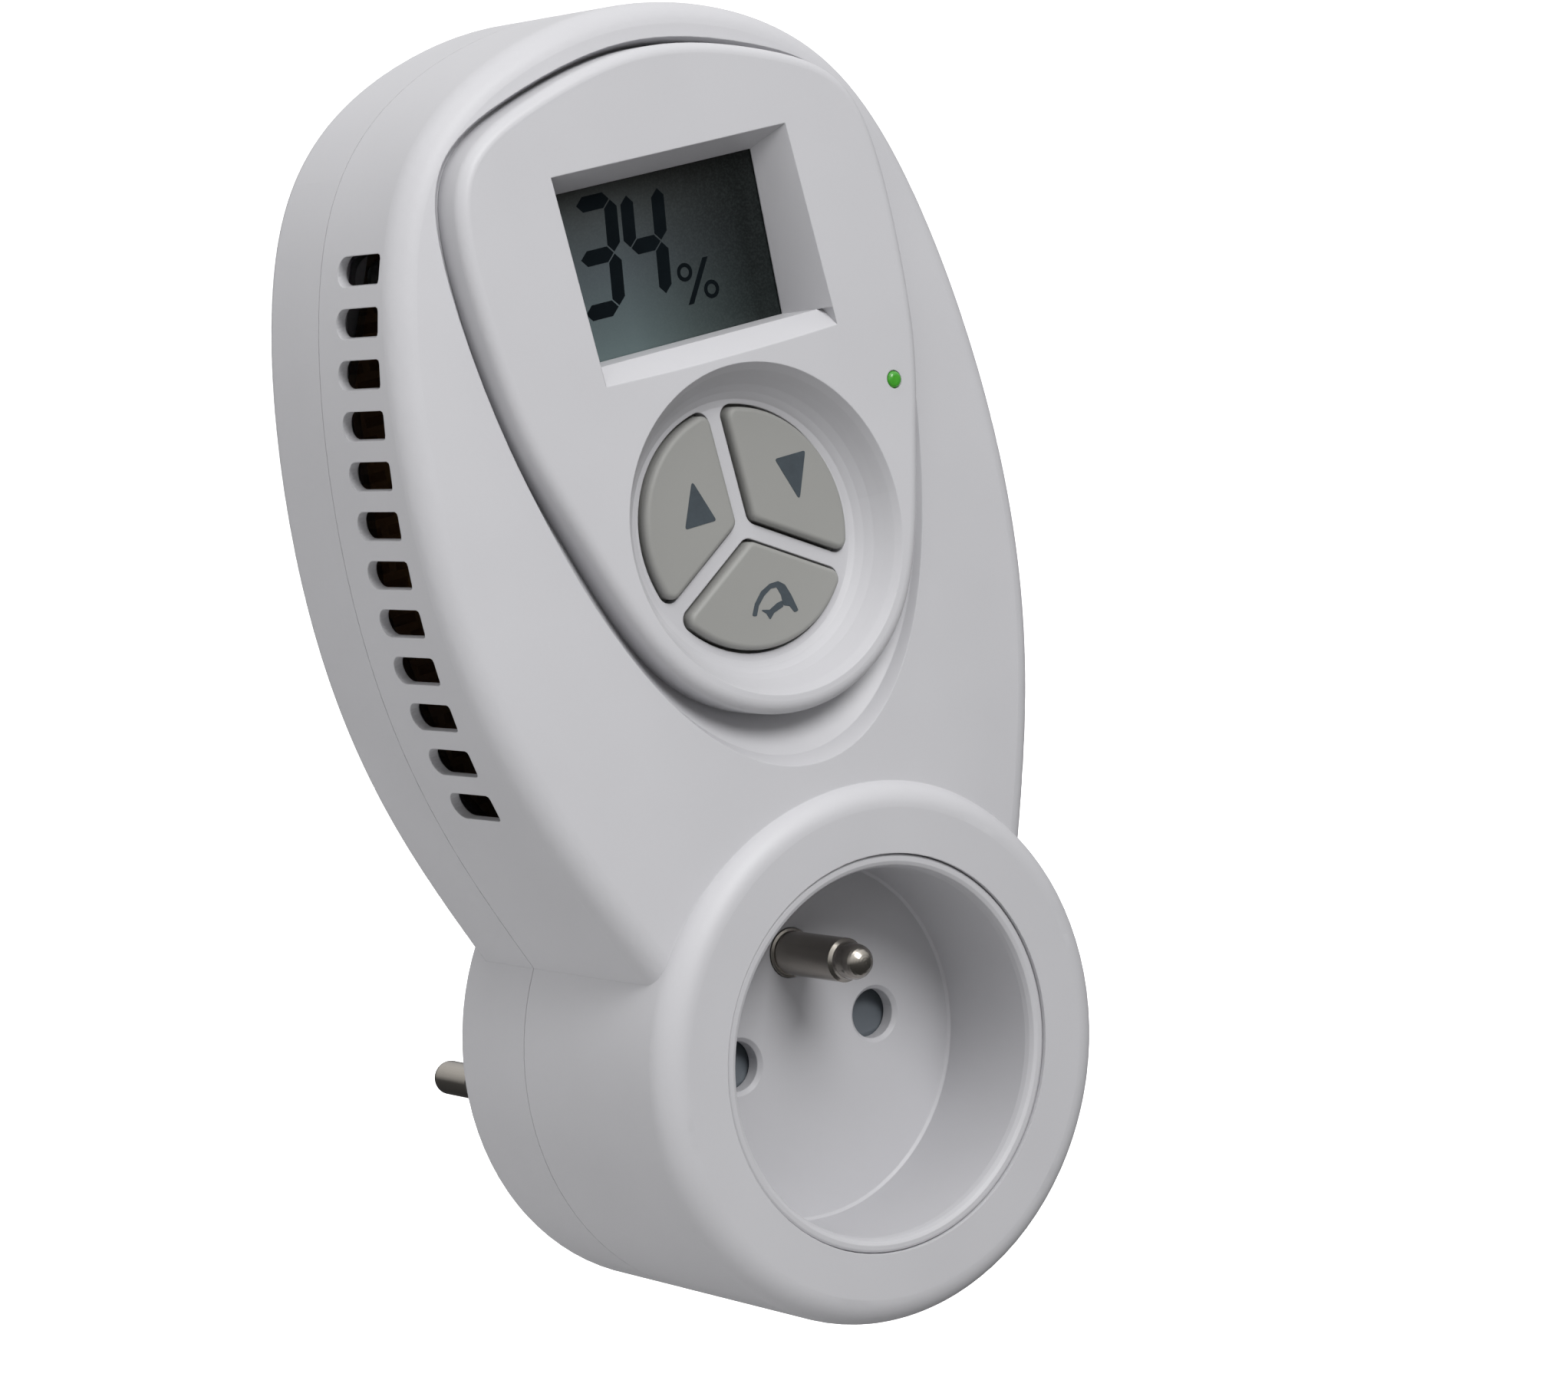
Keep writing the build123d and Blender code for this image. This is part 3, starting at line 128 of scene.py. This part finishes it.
class Shader(Graph):
    """The node tree of a new material, ending in one principled surface."""

    def __init__(self, name):
        self.material = bpy.data.materials.new(name)
        self.material.use_nodes = True
        super().__init__(self.material.node_tree)
        self.tree.nodes.clear()
        self.output = self.node("ShaderNodeOutputMaterial")
        self.place = self.node("ShaderNodeTexCoord").outputs["Object"]

    def mapping(self, scale=(1, 1, 1), turn=(0, 0, 0)):
        inputs = {"Vector": self.place, "Scale": scale, "Rotation": turn}
        return self.node("ShaderNodeMapping", inputs).outputs["Vector"]

    def noise(self, scale, detail=3.0, rough=0.55, vector=None, distortion=0.0):
        inputs = {"Vector": self.place if vector is None else vector, "Scale": scale,
                  "Detail": detail, "Roughness": rough, "Distortion": distortion}
        return self.node("ShaderNodeTexNoise", inputs).outputs["Fac"]

    def bevel(self, radius):
        return self.node("ShaderNodeBevel", {"Radius": radius}, samples=4).outputs["Normal"]

    def bump(self, height, strength, distance, normal=None):
        inputs = {"Height": height, "Strength": strength, "Distance": distance}
        if normal is not None:
            inputs["Normal"] = normal
        return self.node("ShaderNodeBump", inputs).outputs["Normal"]

    def finish(self, **inputs):
        """Add the principled surface and return the material."""
        inputs = {key.replace("_", " "): value for key, value in inputs.items()}
        surface = self.node("ShaderNodeBsdfPrincipled", inputs)
        self.feed(self.output.inputs["Surface"], surface.outputs[0])
        return self.material


# ------------------------------------------------------------- materials
def plastic(name, color, rough, grain=2600.0, strength=0.25, edge=0.00018, coat=0.0):
    """Moulded plastic: fine spark-eroded grain, faint flow mottling, softened edges."""
    mat = Shader(name)
    mottle = mat.noise(scale=55.0, detail=2.0, rough=0.5)
    fine = mat.noise(scale=grain, detail=4.0, rough=0.6)
    pits = mat.noise(scale=grain * 0.33, detail=2.0, rough=0.5)
    base = mat.ramp(mottle, [(0.30, scaled(color, 0.975)), (0.70, scaled(color, 1.012))])
    specks = mat.remap(fine, to=(0.0, 0.05), span=(0.45, 0.75))
    base = mat.mix(specks, base, scaled(color, 0.80))
    roughness = mat.add(mat.remap(mottle, to=(rough - 0.03, rough + 0.03)),
                        mat.remap(fine, to=(-0.02, 0.02)))
    height = mat.add(mat.times(fine, factor=0.7), mat.times(pits, factor=0.6))
    normal = mat.bump(height, strength=strength, distance=0.00002, normal=mat.bevel(edge))
    return mat.finish(Base_Color=base, Roughness=roughness, Normal=normal, IOR=1.46,
                      Coat_Weight=coat, Coat_Roughness=0.15)


def metal(name, color, rough, stretch=(1, 1, 1), scale=900.0):
    """Plated or drawn metal: fine lay marks along the stretched axis, slight tarnish."""
    mat = Shader(name)
    lay = mat.noise(scale=scale, detail=4.0, rough=0.65, vector=mat.mapping(scale=stretch))
    stain = mat.noise(scale=160.0, detail=3.0, rough=0.6, distortion=0.4)
    clean = mat.ramp(lay, [(0.2, scaled(color, 0.9)), (0.8, scaled(color, 1.06))])
    tarnish = mat.remap(stain, to=(0.0, 0.2), span=(0.45, 0.85))
    base = mat.mix(tarnish, clean, scaled(color, 0.62))
    roughness = mat.add(mat.remap(lay, to=(rough - 0.05, rough + 0.08)),
                        mat.remap(stain, to=(-0.03, 0.06)))
    normal = mat.bump(lay, strength=0.18, distance=0.00001, normal=mat.bevel(radius=0.0001))
    return mat.finish(Base_Color=base, Metallic=1.0, Roughness=roughness, Normal=normal)


def board():
    """Brown phenolic circuit board: tracks buried under the lacquer, fibre weave."""
    lacquer, track, fibre = (0.085, 0.045, 0.022), (0.16, 0.095, 0.05), (0.11, 0.062, 0.03)
    mat = Shader("board_brown")
    tracks = mat.node("ShaderNodeTexBrick", {
        "Vector": mat.mapping(turn=(math.radians(90), 0, 0)),
        "Scale": 130.0,
        "Mortar Size": 0.06,
        "Color1": (0, 0, 0),
        "Color2": (0.12, 0.12, 0.12),
        "Mortar": (1, 1, 1),
    }).outputs["Fac"]
    weave = mat.noise(scale=1500.0)
    base = mat.mix(mat.times(tracks, factor=0.75), lacquer, track)
    base = mat.mix(mat.remap(weave, to=(0.0, 0.12)), base, fibre)
    height = mat.add(tracks, mat.times(weave, factor=0.2))
    return mat.finish(Base_Color=base, Roughness=mat.remap(weave, to=(0.24, 0.36)),
                      Normal=mat.bump(height, strength=0.4, distance=0.00004),
                      Coat_Weight=0.3, Coat_Roughness=0.1)


def display():
    """Grey green display: mottled and speckled, with painted shade that darkens it towards the
    top and the right, where the window walls shade it.
    """
    mat = Shader("display_grey_green_painted_shade")
    axes = mat.axes(mat.place)
    speck = mat.noise(scale=5200.0, detail=2.0)
    soft = mat.noise(scale=90.0, detail=2.0)
    # Painted shade: the colour darkens towards the top, standing in for the shade under the
    # window's top wall.
    top_shade_height = mat.remap(axes["Z"], span=(0.0855, 0.1035))
    base = mat.ramp(top_shade_height, [(0.0, rgb(88, 101, 102)), (0.5, rgb(72, 79, 83)),
                             (1.0, rgb(50, 51, 50))])
    # Painted shade: a multiplied darkening towards the right, standing in for the shadow of the
    # window's right wall.
    across = mat.remap(axes["X"], span=(-0.006, 0.0105))
    painted_wall_shade = mat.ramp(across, [(0.0, (1, 1, 1)), (0.5, (0.47, 0.46, 0.45)),
                              (1.0, (0.05, 0.05, 0.05))])
    base = mat.mix(1.0, base, painted_wall_shade, mode="MULTIPLY")
    base = mat.mix(mat.remap(soft, to=(0.0, 0.10)), base, rgb(70, 82, 80))
    specks = mat.remap(speck, to=(0.0, 0.06), span=(0.4, 0.7))
    base = mat.mix(specks, base, rgb(110, 120, 118))
    return mat.finish(Base_Color=base, Roughness=mat.remap(speck, to=(0.30, 0.38)),
                      Normal=mat.bump(soft, strength=0.05, distance=0.00002),
                      IOR=1.22, Coat_Weight=0.08, Coat_Roughness=0.05)


def lamp_lens():
    """Swirled green lens with a faint glow."""
    color = (0.045, 0.26, 0.02)
    mat = Shader("lamp_green")
    swirl = mat.noise(scale=900.0)
    base = mat.ramp(swirl, [(0.3, scaled(color, 0.82)), (0.7, scaled(color, 1.12))])
    normal = mat.bump(swirl, strength=0.08, distance=0.00001, normal=mat.bevel(radius=0.0001))
    return mat.finish(Base_Color=base, Roughness=mat.remap(swirl, to=(0.16, 0.26)),
                      Normal=normal, Subsurface_Weight=0.25, Subsurface_Scale=0.0008,
                      Emission_Color=base, Emission_Strength=0.22)


def fuse_glass():
    """Clear glass with a faint ripple."""
    color = (0.85, 0.87, 0.85)
    mat = Shader("fuse_glass")
    ripple = mat.noise(scale=400.0)
    base = mat.ramp(ripple, [(0.3, scaled(color, 0.95)), (0.7, color)])
    return mat.finish(Base_Color=base, Roughness=mat.remap(ripple, to=(0.03, 0.08)),
                      Transmission_Weight=0.85, IOR=1.5,
                      Normal=mat.bump(ripple, strength=0.04, distance=0.00001))


def zebra_rubber():
    """Soft rubber with fine dark bands."""
    color = (0.30, 0.16, 0.17)
    mat = Shader("zebra_strip")
    grain = mat.noise(scale=1800.0, detail=4.0)
    wave = mat.node("ShaderNodeTexWave", {"Vector": mat.place, "Scale": 900.0})
    bands = mat.remap(wave.outputs["Fac"], to=(0.0, 0.5))
    return mat.finish(Base_Color=mat.mix(bands, color, scaled(color, 0.35)),
                      Roughness=mat.remap(grain, to=(0.6, 0.8)),
                      Normal=mat.bump(grain, strength=0.3, distance=0.00003))


def ink(name, color, rough, ior):
    """Printed ink: a slightly uneven film."""
    mat = Shader(name)
    grain = mat.noise(scale=2400.0, detail=4.0)
    mottle = mat.noise(scale=300.0, detail=2.0)
    film = mat.ramp(mottle, [(0.3, scaled(color, 0.9)), (0.7, scaled(color, 1.15))])
    worn = mat.remap(grain, to=(0.0, 0.35), span=(0.4, 0.8))
    return mat.finish(Base_Color=mat.mix(worn, film, scaled(color, 1.5)),
                      Roughness=mat.remap(grain, to=(rough - 0.05, rough + 0.1)),
                      Normal=mat.bump(grain, strength=0.2, distance=0.00001), IOR=ior)


WHITE = (0.495, 0.493, 0.512)
# Stretch of the lay marks along one axis
ALONG_Y = (1, 0.1, 1)
ALONG_Z = (1, 1, 0.1)

# Material of each CAD material slot
MATERIALS = {
    "casing_front": plastic("casing_white", WHITE, rough=0.48),
    "casing_rear": plastic("casing_white_rear", scaled(WHITE, 0.985), rough=0.50),
    "panel": plastic("panel_white", WHITE, rough=0.44, grain=3200.0, strength=0.18),
    "insert": plastic("insert_white", WHITE, rough=0.40, grain=3600.0, strength=0.12),
    "insulator": plastic("insulator_cream", (0.52, 0.50, 0.42), rough=0.5),
    "nickel": metal("nickel_plate", (0.37, 0.345, 0.31), rough=0.17,
                    stretch=(1, 0.06, 1), scale=1400.0),
    "earth_brass": metal("earth_brass", (0.72, 0.55, 0.24), rough=0.26, stretch=ALONG_Y),
    "spring_bronze": metal("spring_bronze", (0.70, 0.46, 0.22), rough=0.28, stretch=ALONG_Z),
    "busbar": metal("tinned_strip", (0.62, 0.60, 0.52), rough=0.32, stretch=ALONG_Z),
    "shutter_plastic": plastic("shutter_grey", rgb(92, 98, 104), rough=0.42),
    "spring_steel": metal("spring_wire", (0.50, 0.50, 0.50), rough=0.26, scale=2500.0),
    "key_plastic": plastic("key_grey", (0.268, 0.268, 0.256), rough=0.52, grain=3400.0,
                           strength=0.22, edge=0.00022),
    "plunger_plastic": plastic("plunger_black", (0.02, 0.02, 0.02), rough=0.4),
    "switch_body": plastic("switch_black", (0.025, 0.025, 0.028), rough=0.45),
    "circuit_board": board(),
    "header_plastic": plastic("header_black", (0.015, 0.015, 0.015), rough=0.5),
    "display_glass": display(),
    "lcd_frame": plastic("frame_white", scaled(WHITE, 0.98), rough=0.5),
    "elastomer": zebra_rubber(),
    "led_lens": lamp_lens(),
    "relay_case": plastic("relay_blue", (0.02, 0.07, 0.28), rough=0.3, coat=0.3),
    "film_capacitor": plastic("film_ochre", (0.50, 0.26, 0.03), rough=0.4),
    "can_sleeve": plastic("sleeve_black", (0.02, 0.02, 0.03), rough=0.28, coat=0.5),
    "varistor_coat": plastic("varistor_blue", (0.02, 0.12, 0.34), rough=0.36, coat=0.3),
    "fuse_glass": fuse_glass(),
    "sensor_case": plastic("sensor_white", (0.60, 0.60, 0.56), rough=0.5),
    "screw_steel": metal("screw_zinc", (0.52, 0.52, 0.50), rough=0.30, stretch=ALONG_Y),
}

slot_of = {part["node"]: part["material_slot"] for part in frame["record"]["subparts"]}
for node_name, piece in frame["nodes"].items():
    piece.data.materials.clear()
    piece.data.materials.append(MATERIALS[slot_of[node_name]])

# ------------------------------------------------------------- surfaces for the plates, mm
ORIGIN_Y = 58.5        # frame origin in socket-front coordinates
ORIGIN_Z = -8.0
SLOPE = 0.1071         # y gained per z by the face that leans back
LEAN_Y, LEAN_Z = 5.22, 75.0    # a point on that face
KEY_DEPTH = 3.7        # key faces behind the leaning face
GLASS_Y = 12.05        # upright front of the display glass
SLOPE_LENGTH = math.sqrt(1 + SLOPE * SLOPE)
KEY_NORMAL = Vector((0, -1 / SLOPE_LENGTH, SLOPE / SLOPE_LENGTH))
GLASS_NORMAL = Vector((0, -1, 0))
SUNK = 0.06 * MM       # how far each plate reaches below its surface


def point(x, y, z):
    """Socket-front millimetres to the shared frame in metres."""
    return Vector((x * MM, (y - ORIGIN_Y) * MM, (z - ORIGIN_Z) * MM))


def on_key(x, z):
    return point(x, LEAN_Y + SLOPE * (z - LEAN_Z) + KEY_DEPTH, z)


def on_glass(x, z):
    return point(x, GLASS_Y, z)


# ------------------------------------------------------------- mesh helpers
def mesh_object(name, bm, material):
    mesh = bpy.data.meshes.new(name)
    bm.to_mesh(mesh)
    bm.free()
    mesh.materials.append(material)
    obj = bpy.data.objects.new(name, mesh)
    bpy.context.scene.collection.objects.link(obj)
    return obj


def plate(name, outlines, surface, normal, thick, material, body):
    """Closed thin slabs, one per closed (x, z) outline laid on a surface."""
    bm = bmesh.new()
    for outline in outlines:
        points = [surface(x, z) for x, z in outline]
        front = [bm.verts.new(spot + normal * thick) for spot in points]
        back = [bm.verts.new(spot - normal * SUNK) for spot in points]
        bm.faces.new(front)
        bm.faces.new(list(reversed(back)))
        for i in range(len(points)):
            j = (i + 1) % len(points)
            bm.faces.new((front[i], back[i], back[j], front[j]))
    bmesh.ops.recalc_face_normals(bm, faces=bm.faces)
    bmesh.ops.triangulate(bm, faces=[face for face in bm.faces if len(face.verts) > 4])
    obj = mesh_object(name, bm, material)
    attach(obj, body)


def rounded(points, radius, steps=4):
    """Polygon with each corner replaced by a quadratic curve of about this radius."""
    curve = []
    count = len(points)
    for i in range(count):
        before, corner, after = (Vector(points[(i + k) % count]) for k in (-1, 0, 1))
        to_before = before - corner
        to_after = after - corner
        # Keep each cut inside its half of the side
        limits = (to_before.length * 0.45, to_after.length * 0.45)
        to_before.normalize()
        to_after.normalize()
        cut = min(radius / math.tan(to_before.angle(to_after) / 2), *limits)
        start = corner + to_before * cut
        end = corner + to_after * cut
        for k in range(steps + 1):
            share = k / steps
            spot = ((1 - share) ** 2 * start + 2 * (1 - share) * share * corner
                    + share * share * end)
            curve.append((spot.x, spot.y))
    return curve


# ------------------------------------------------------------- key symbols
SYMBOL_THICK = 0.04 * MM

# Outlines as (x, z) in mm
UP_TRIANGLE = [(-7.85, 59.15), (-3.7, 59.15), (-5.45, 63.85)]
DOWN_TRIANGLE = [(5.5, 63.6), (9.65, 63.6), (7.3, 58.7)]
# Return arrow: an arch from the left foot over to a head at the right
RETURN_ARCH = [
    (-2.42, 48.5), (-1.68, 49.68), (-0.52, 50.71), (0.78, 51.21), (1.92, 51.22), (2.67, 50.65),
    (3.11, 49.46), (3.54, 47.59), (2.96, 47.57), (2.54, 48.35), (1.8, 48.62), (1.84, 49.7),
    (1.54, 50.64), (0.79, 50.68), (-0.29, 50.15), (-1.28, 49.32), (-1.85, 48.36),
]
# Short tail below the arch
RETURN_TAIL = [
    (-1.21, 48.89), (-0.07, 48.6), (1.11, 49.05), (1.79, 49.14),
    (1.76, 48.49), (0.4, 48.15), (-0.3, 47.58), (-0.58, 48.31),
]

key_ink = ink("key_ink", rgb(54, 62, 68), rough=0.5, ior=1.45)
# Key, and its outlines each with a corner radius
for key, shapes in (
    ("up", [(UP_TRIANGLE, 0.25)]),
    ("down", [(DOWN_TRIANGLE, 0.25)]),
    ("return", [(RETURN_ARCH, 0.18), (RETURN_TAIL, 0.12)]),
):
    plate("symbol_" + key, [rounded(points, radius) for points, radius in shapes],
          on_key, KEY_NORMAL, SYMBOL_THICK, key_ink, "key_" + key)

# ------------------------------------------------------------- display digits, mm
SEGMENT_THICK = 0.03 * MM
DIGIT_Z = 82.9         # middle of the bottom bar
DIGIT_HEIGHT = 11.1    # bottom bar to top bar
BAR_WIDTH = 1.6
BAR_GAP = 0.12         # taken off each end of a bar
SLANT = 0.13           # x gained per z
# Middle x, width and lit bars of each digit
DIGITS = [(-9.3, 4.4, "abgcd"), (-3.0, 4.0, "fgbc")]
# Bar middles: level bars by height, upright bars by (width, height), as shares of the digit
LEVEL_BARS = {"a": 1, "g": 0.5, "d": 0}
UPRIGHT_BARS = {"b": (0.5, 0.75), "c": (0.5, 0.25), "f": (-0.5, 0.75), "e": (-0.5, 0.25)}

PERCENT_STROKE = [(1.55, 81.2), (2.25, 81.2), (5.15, 85.7), (4.45, 85.7)]
PERCENT_RINGS = [(1.85, 84.65), (4.85, 82.25)]    # centres
RING_RADIUS = 0.98
RING_WIDTH = 0.42
RING_SIDES = 18


def level_bar(x, z, length):
    """Hexagonal bar along x, pointed at both ends."""
    half = BAR_WIDTH / 2
    left = x - length / 2
    right = x + length / 2
    return [(left, z), (left + half, z + half), (right - half, z + half),
            (right, z), (right - half, z - half), (left + half, z - half)]


def upright_bar(x, z, length):
    return [(across, up) for up, across in level_bar(z, x, length)]


def digit(middle, width, lit):
    """Slanted outlines of the lit bars of one seven-bar digit."""
    outlines = []
    for letter in lit:
        if letter in LEVEL_BARS:
            level = DIGIT_Z + LEVEL_BARS[letter] * DIGIT_HEIGHT
            bar = level_bar(middle, level, width - 2 * BAR_GAP)
        else:
            across, up = UPRIGHT_BARS[letter]
            bar = upright_bar(middle + across * width, DIGIT_Z + up * DIGIT_HEIGHT,
                              DIGIT_HEIGHT / 2 - 2 * BAR_GAP)
        outlines.append([(x + SLANT * (z - DIGIT_Z), z) for x, z in bar])
    return outlines


def circle(x, z, radius):
    angles = [2 * math.pi * k / RING_SIDES for k in range(RING_SIDES)]
    return [(x + radius * math.cos(angle), z + radius * math.sin(angle)) for angle in angles]


def ring(x, z):
    """Ring as one four-sided outline per side."""
    outer = circle(x, z, RING_RADIUS)
    inner = circle(x, z, RING_RADIUS - RING_WIDTH)
    following = [(k + 1) % RING_SIDES for k in range(RING_SIDES)]
    return [[outer[k], outer[j], inner[j], inner[k]] for k, j in enumerate(following)]


segment_ink = ink("display_segments", rgb(12, 17, 20), rough=0.6, ior=1.08)
digit_outlines = [bar for entry in DIGITS for bar in digit(*entry)]
percent_outlines = [PERCENT_STROKE] + [side for centre in PERCENT_RINGS for side in ring(*centre)]
for name, outlines in (("display_digits", digit_outlines), ("display_percent", percent_outlines)):
    plate(name, outlines, on_glass, GLASS_NORMAL, SEGMENT_THICK, segment_ink,
          "casing")

# ------------------------------------------------------------- floor
FLOOR_SIZE = 14.0
FLOOR_CELLS = 24
FLOOR_FRONT = -2.0     # y of the front edge
FLOOR_Z = -0.085


def floor_material():
    """Pale to the camera; other rays meet a floor that darkens towards the right."""
    mat = Shader("floor_pale")
    cloud = mat.noise(scale=6.0)
    seen = mat.ramp(cloud, [(0.3, (0.84, 0.84, 0.84)), (0.7, (0.87, 0.87, 0.87))])
    rays = mat.node("ShaderNodeLightPath").outputs
    axes = mat.axes(mat.place)
    across = mat.math("SUBTRACT", axes["X"], mat.times(axes["Y"], factor=0.7))
    bounce = mat.ramp(mat.remap(across, span=(-0.12, 0.12)),
                      [(0.0, (0.92, 0.92, 0.92)), (1.0, (0.09, 0.09, 0.09))])
    bounce = mat.mix(mat.remap(cloud, to=(0.0, 0.1)), bounce, (0.3, 0.3, 0.3))
    bounce = mat.mix(rays["Is Glossy Ray"], bounce, (0.03, 0.03, 0.03))
    camera_ray = rays["Is Camera Ray"]
    return mat.finish(Base_Color=mat.mix(camera_ray, bounce, seen), Roughness=0.9,
                      Emission_Color=(1, 1, 1),
                      Emission_Strength=mat.times(camera_ray, factor=0.75))


def floor():
    bm = bmesh.new()
    steps = [FLOOR_SIZE * i / FLOOR_CELLS for i in range(FLOOR_CELLS + 1)]
    grid = [[bm.verts.new((-FLOOR_SIZE / 2 + x, FLOOR_FRONT + y, FLOOR_Z)) for y in steps]
            for x in steps]
    for i in range(FLOOR_CELLS):
        for j in range(FLOOR_CELLS):
            bm.faces.new((grid[i][j], grid[i + 1][j], grid[i + 1][j + 1], grid[i][j + 1]))
    mesh_object("floor", bm, floor_material())


floor()


# ------------------------------------------------------------- world
def studio_world():
    """Softer from the front, fuller from the sides; reflections see a darker room
    with a bright ceiling, and the camera sees plain white."""
    world = bpy.data.worlds.new("studio")
    bpy.context.scene.world = world
    world.use_nodes = True
    graph = Graph(world.node_tree)
    rays = graph.node("ShaderNodeLightPath").outputs
    axes = graph.axes(graph.node("ShaderNodeTexCoord").outputs["Generated"])
    height = graph.remap(axes["Z"], span=(-1.0, 1.0))

    def grey_ramp(*stops):
        """Brightness over height; each stop is (height, level)."""
        return graph.ramp(height, [(position, (level,) * 3) for position, level in stops])

    ahead = graph.remap(axes["Y"], span=(0.15, -0.85))
    sides = grey_ramp((0.0, 0.60), (0.5, 0.86), (0.8, 0.60), (1.0, 0.55))
    front = grey_ramp((0.0, 0.05), (0.5, 0.27), (1.0, 0.62))
    mirror = grey_ramp((0.0, 0.03), (0.5, 0.16), (0.62, 0.60), (1.0, 1.50))
    diffuse = graph.mix_float(ahead, sides, front)
    room = graph.mix_float(rays["Is Glossy Ray"], diffuse, mirror)
    backdrop = 1.2
    background = world.node_tree.nodes["Background"]
    graph.feed(background.inputs["Strength"],
               graph.mix_float(rays["Is Camera Ray"], room, backdrop))
    graph.feed(background.inputs["Color"], (1, 1, 1))


studio_world()

# ------------------------------------------------------------- lights
LIGHT_TARGET = Vector((0.0, -0.03, 0.05))


def disk_light(name, place, size, power):
    light = bpy.data.lights.new(name, "AREA")
    light.shape = "DISK"
    light.size = size
    light.energy = power
    obj = bpy.data.objects.new(name, light)
    obj.location = place
    obj.rotation_euler = (LIGHT_TARGET - Vector(place)).to_track_quat("-Z", "Y").to_euler()
    bpy.context.scene.collection.objects.link(obj)


disk_light("key_light", place=(0.05, -1.15, 1.02), size=0.8, power=17.6)
disk_light("top_light", place=(-0.20, -0.25, 1.30), size=0.8, power=3.0)

# ------------------------------------------------------------- camera
CAMERA_PLACE = (-0.253385, -0.410552, 0.127547)
# Camera axes: its right, its up, and backwards from its view
CAMERA_AXES = (
    (0.78109, -0.59455, -0.1908),
    (0.26092, 0.03316, 0.96479),
    (-0.56729, -0.80337, 0.18103),
)


def camera():
    lens = bpy.data.cameras.new("camera")
    obj = bpy.data.objects.new("camera", lens)
    bpy.context.scene.collection.objects.link(obj)
    lens.sensor_fit = "HORIZONTAL"
    lens.sensor_width = 36.0
    lens.lens = 96.8688845401
    # Shifts are shares of the sensor width
    lens.shift_x = -2.25048924e-5
    lens.shift_y = 0.00653522505
    lens.clip_start = 0.01
    lens.clip_end = 100.0
    turn = Matrix(CAMERA_AXES).transposed()
    obj.matrix_world = Matrix.Translation(CAMERA_PLACE) @ turn.to_4x4()
    bpy.context.scene.camera = obj


camera()
bpy.context.scene.view_settings.view_transform = "Standard"
bpy.context.scene.view_settings.look = "None"
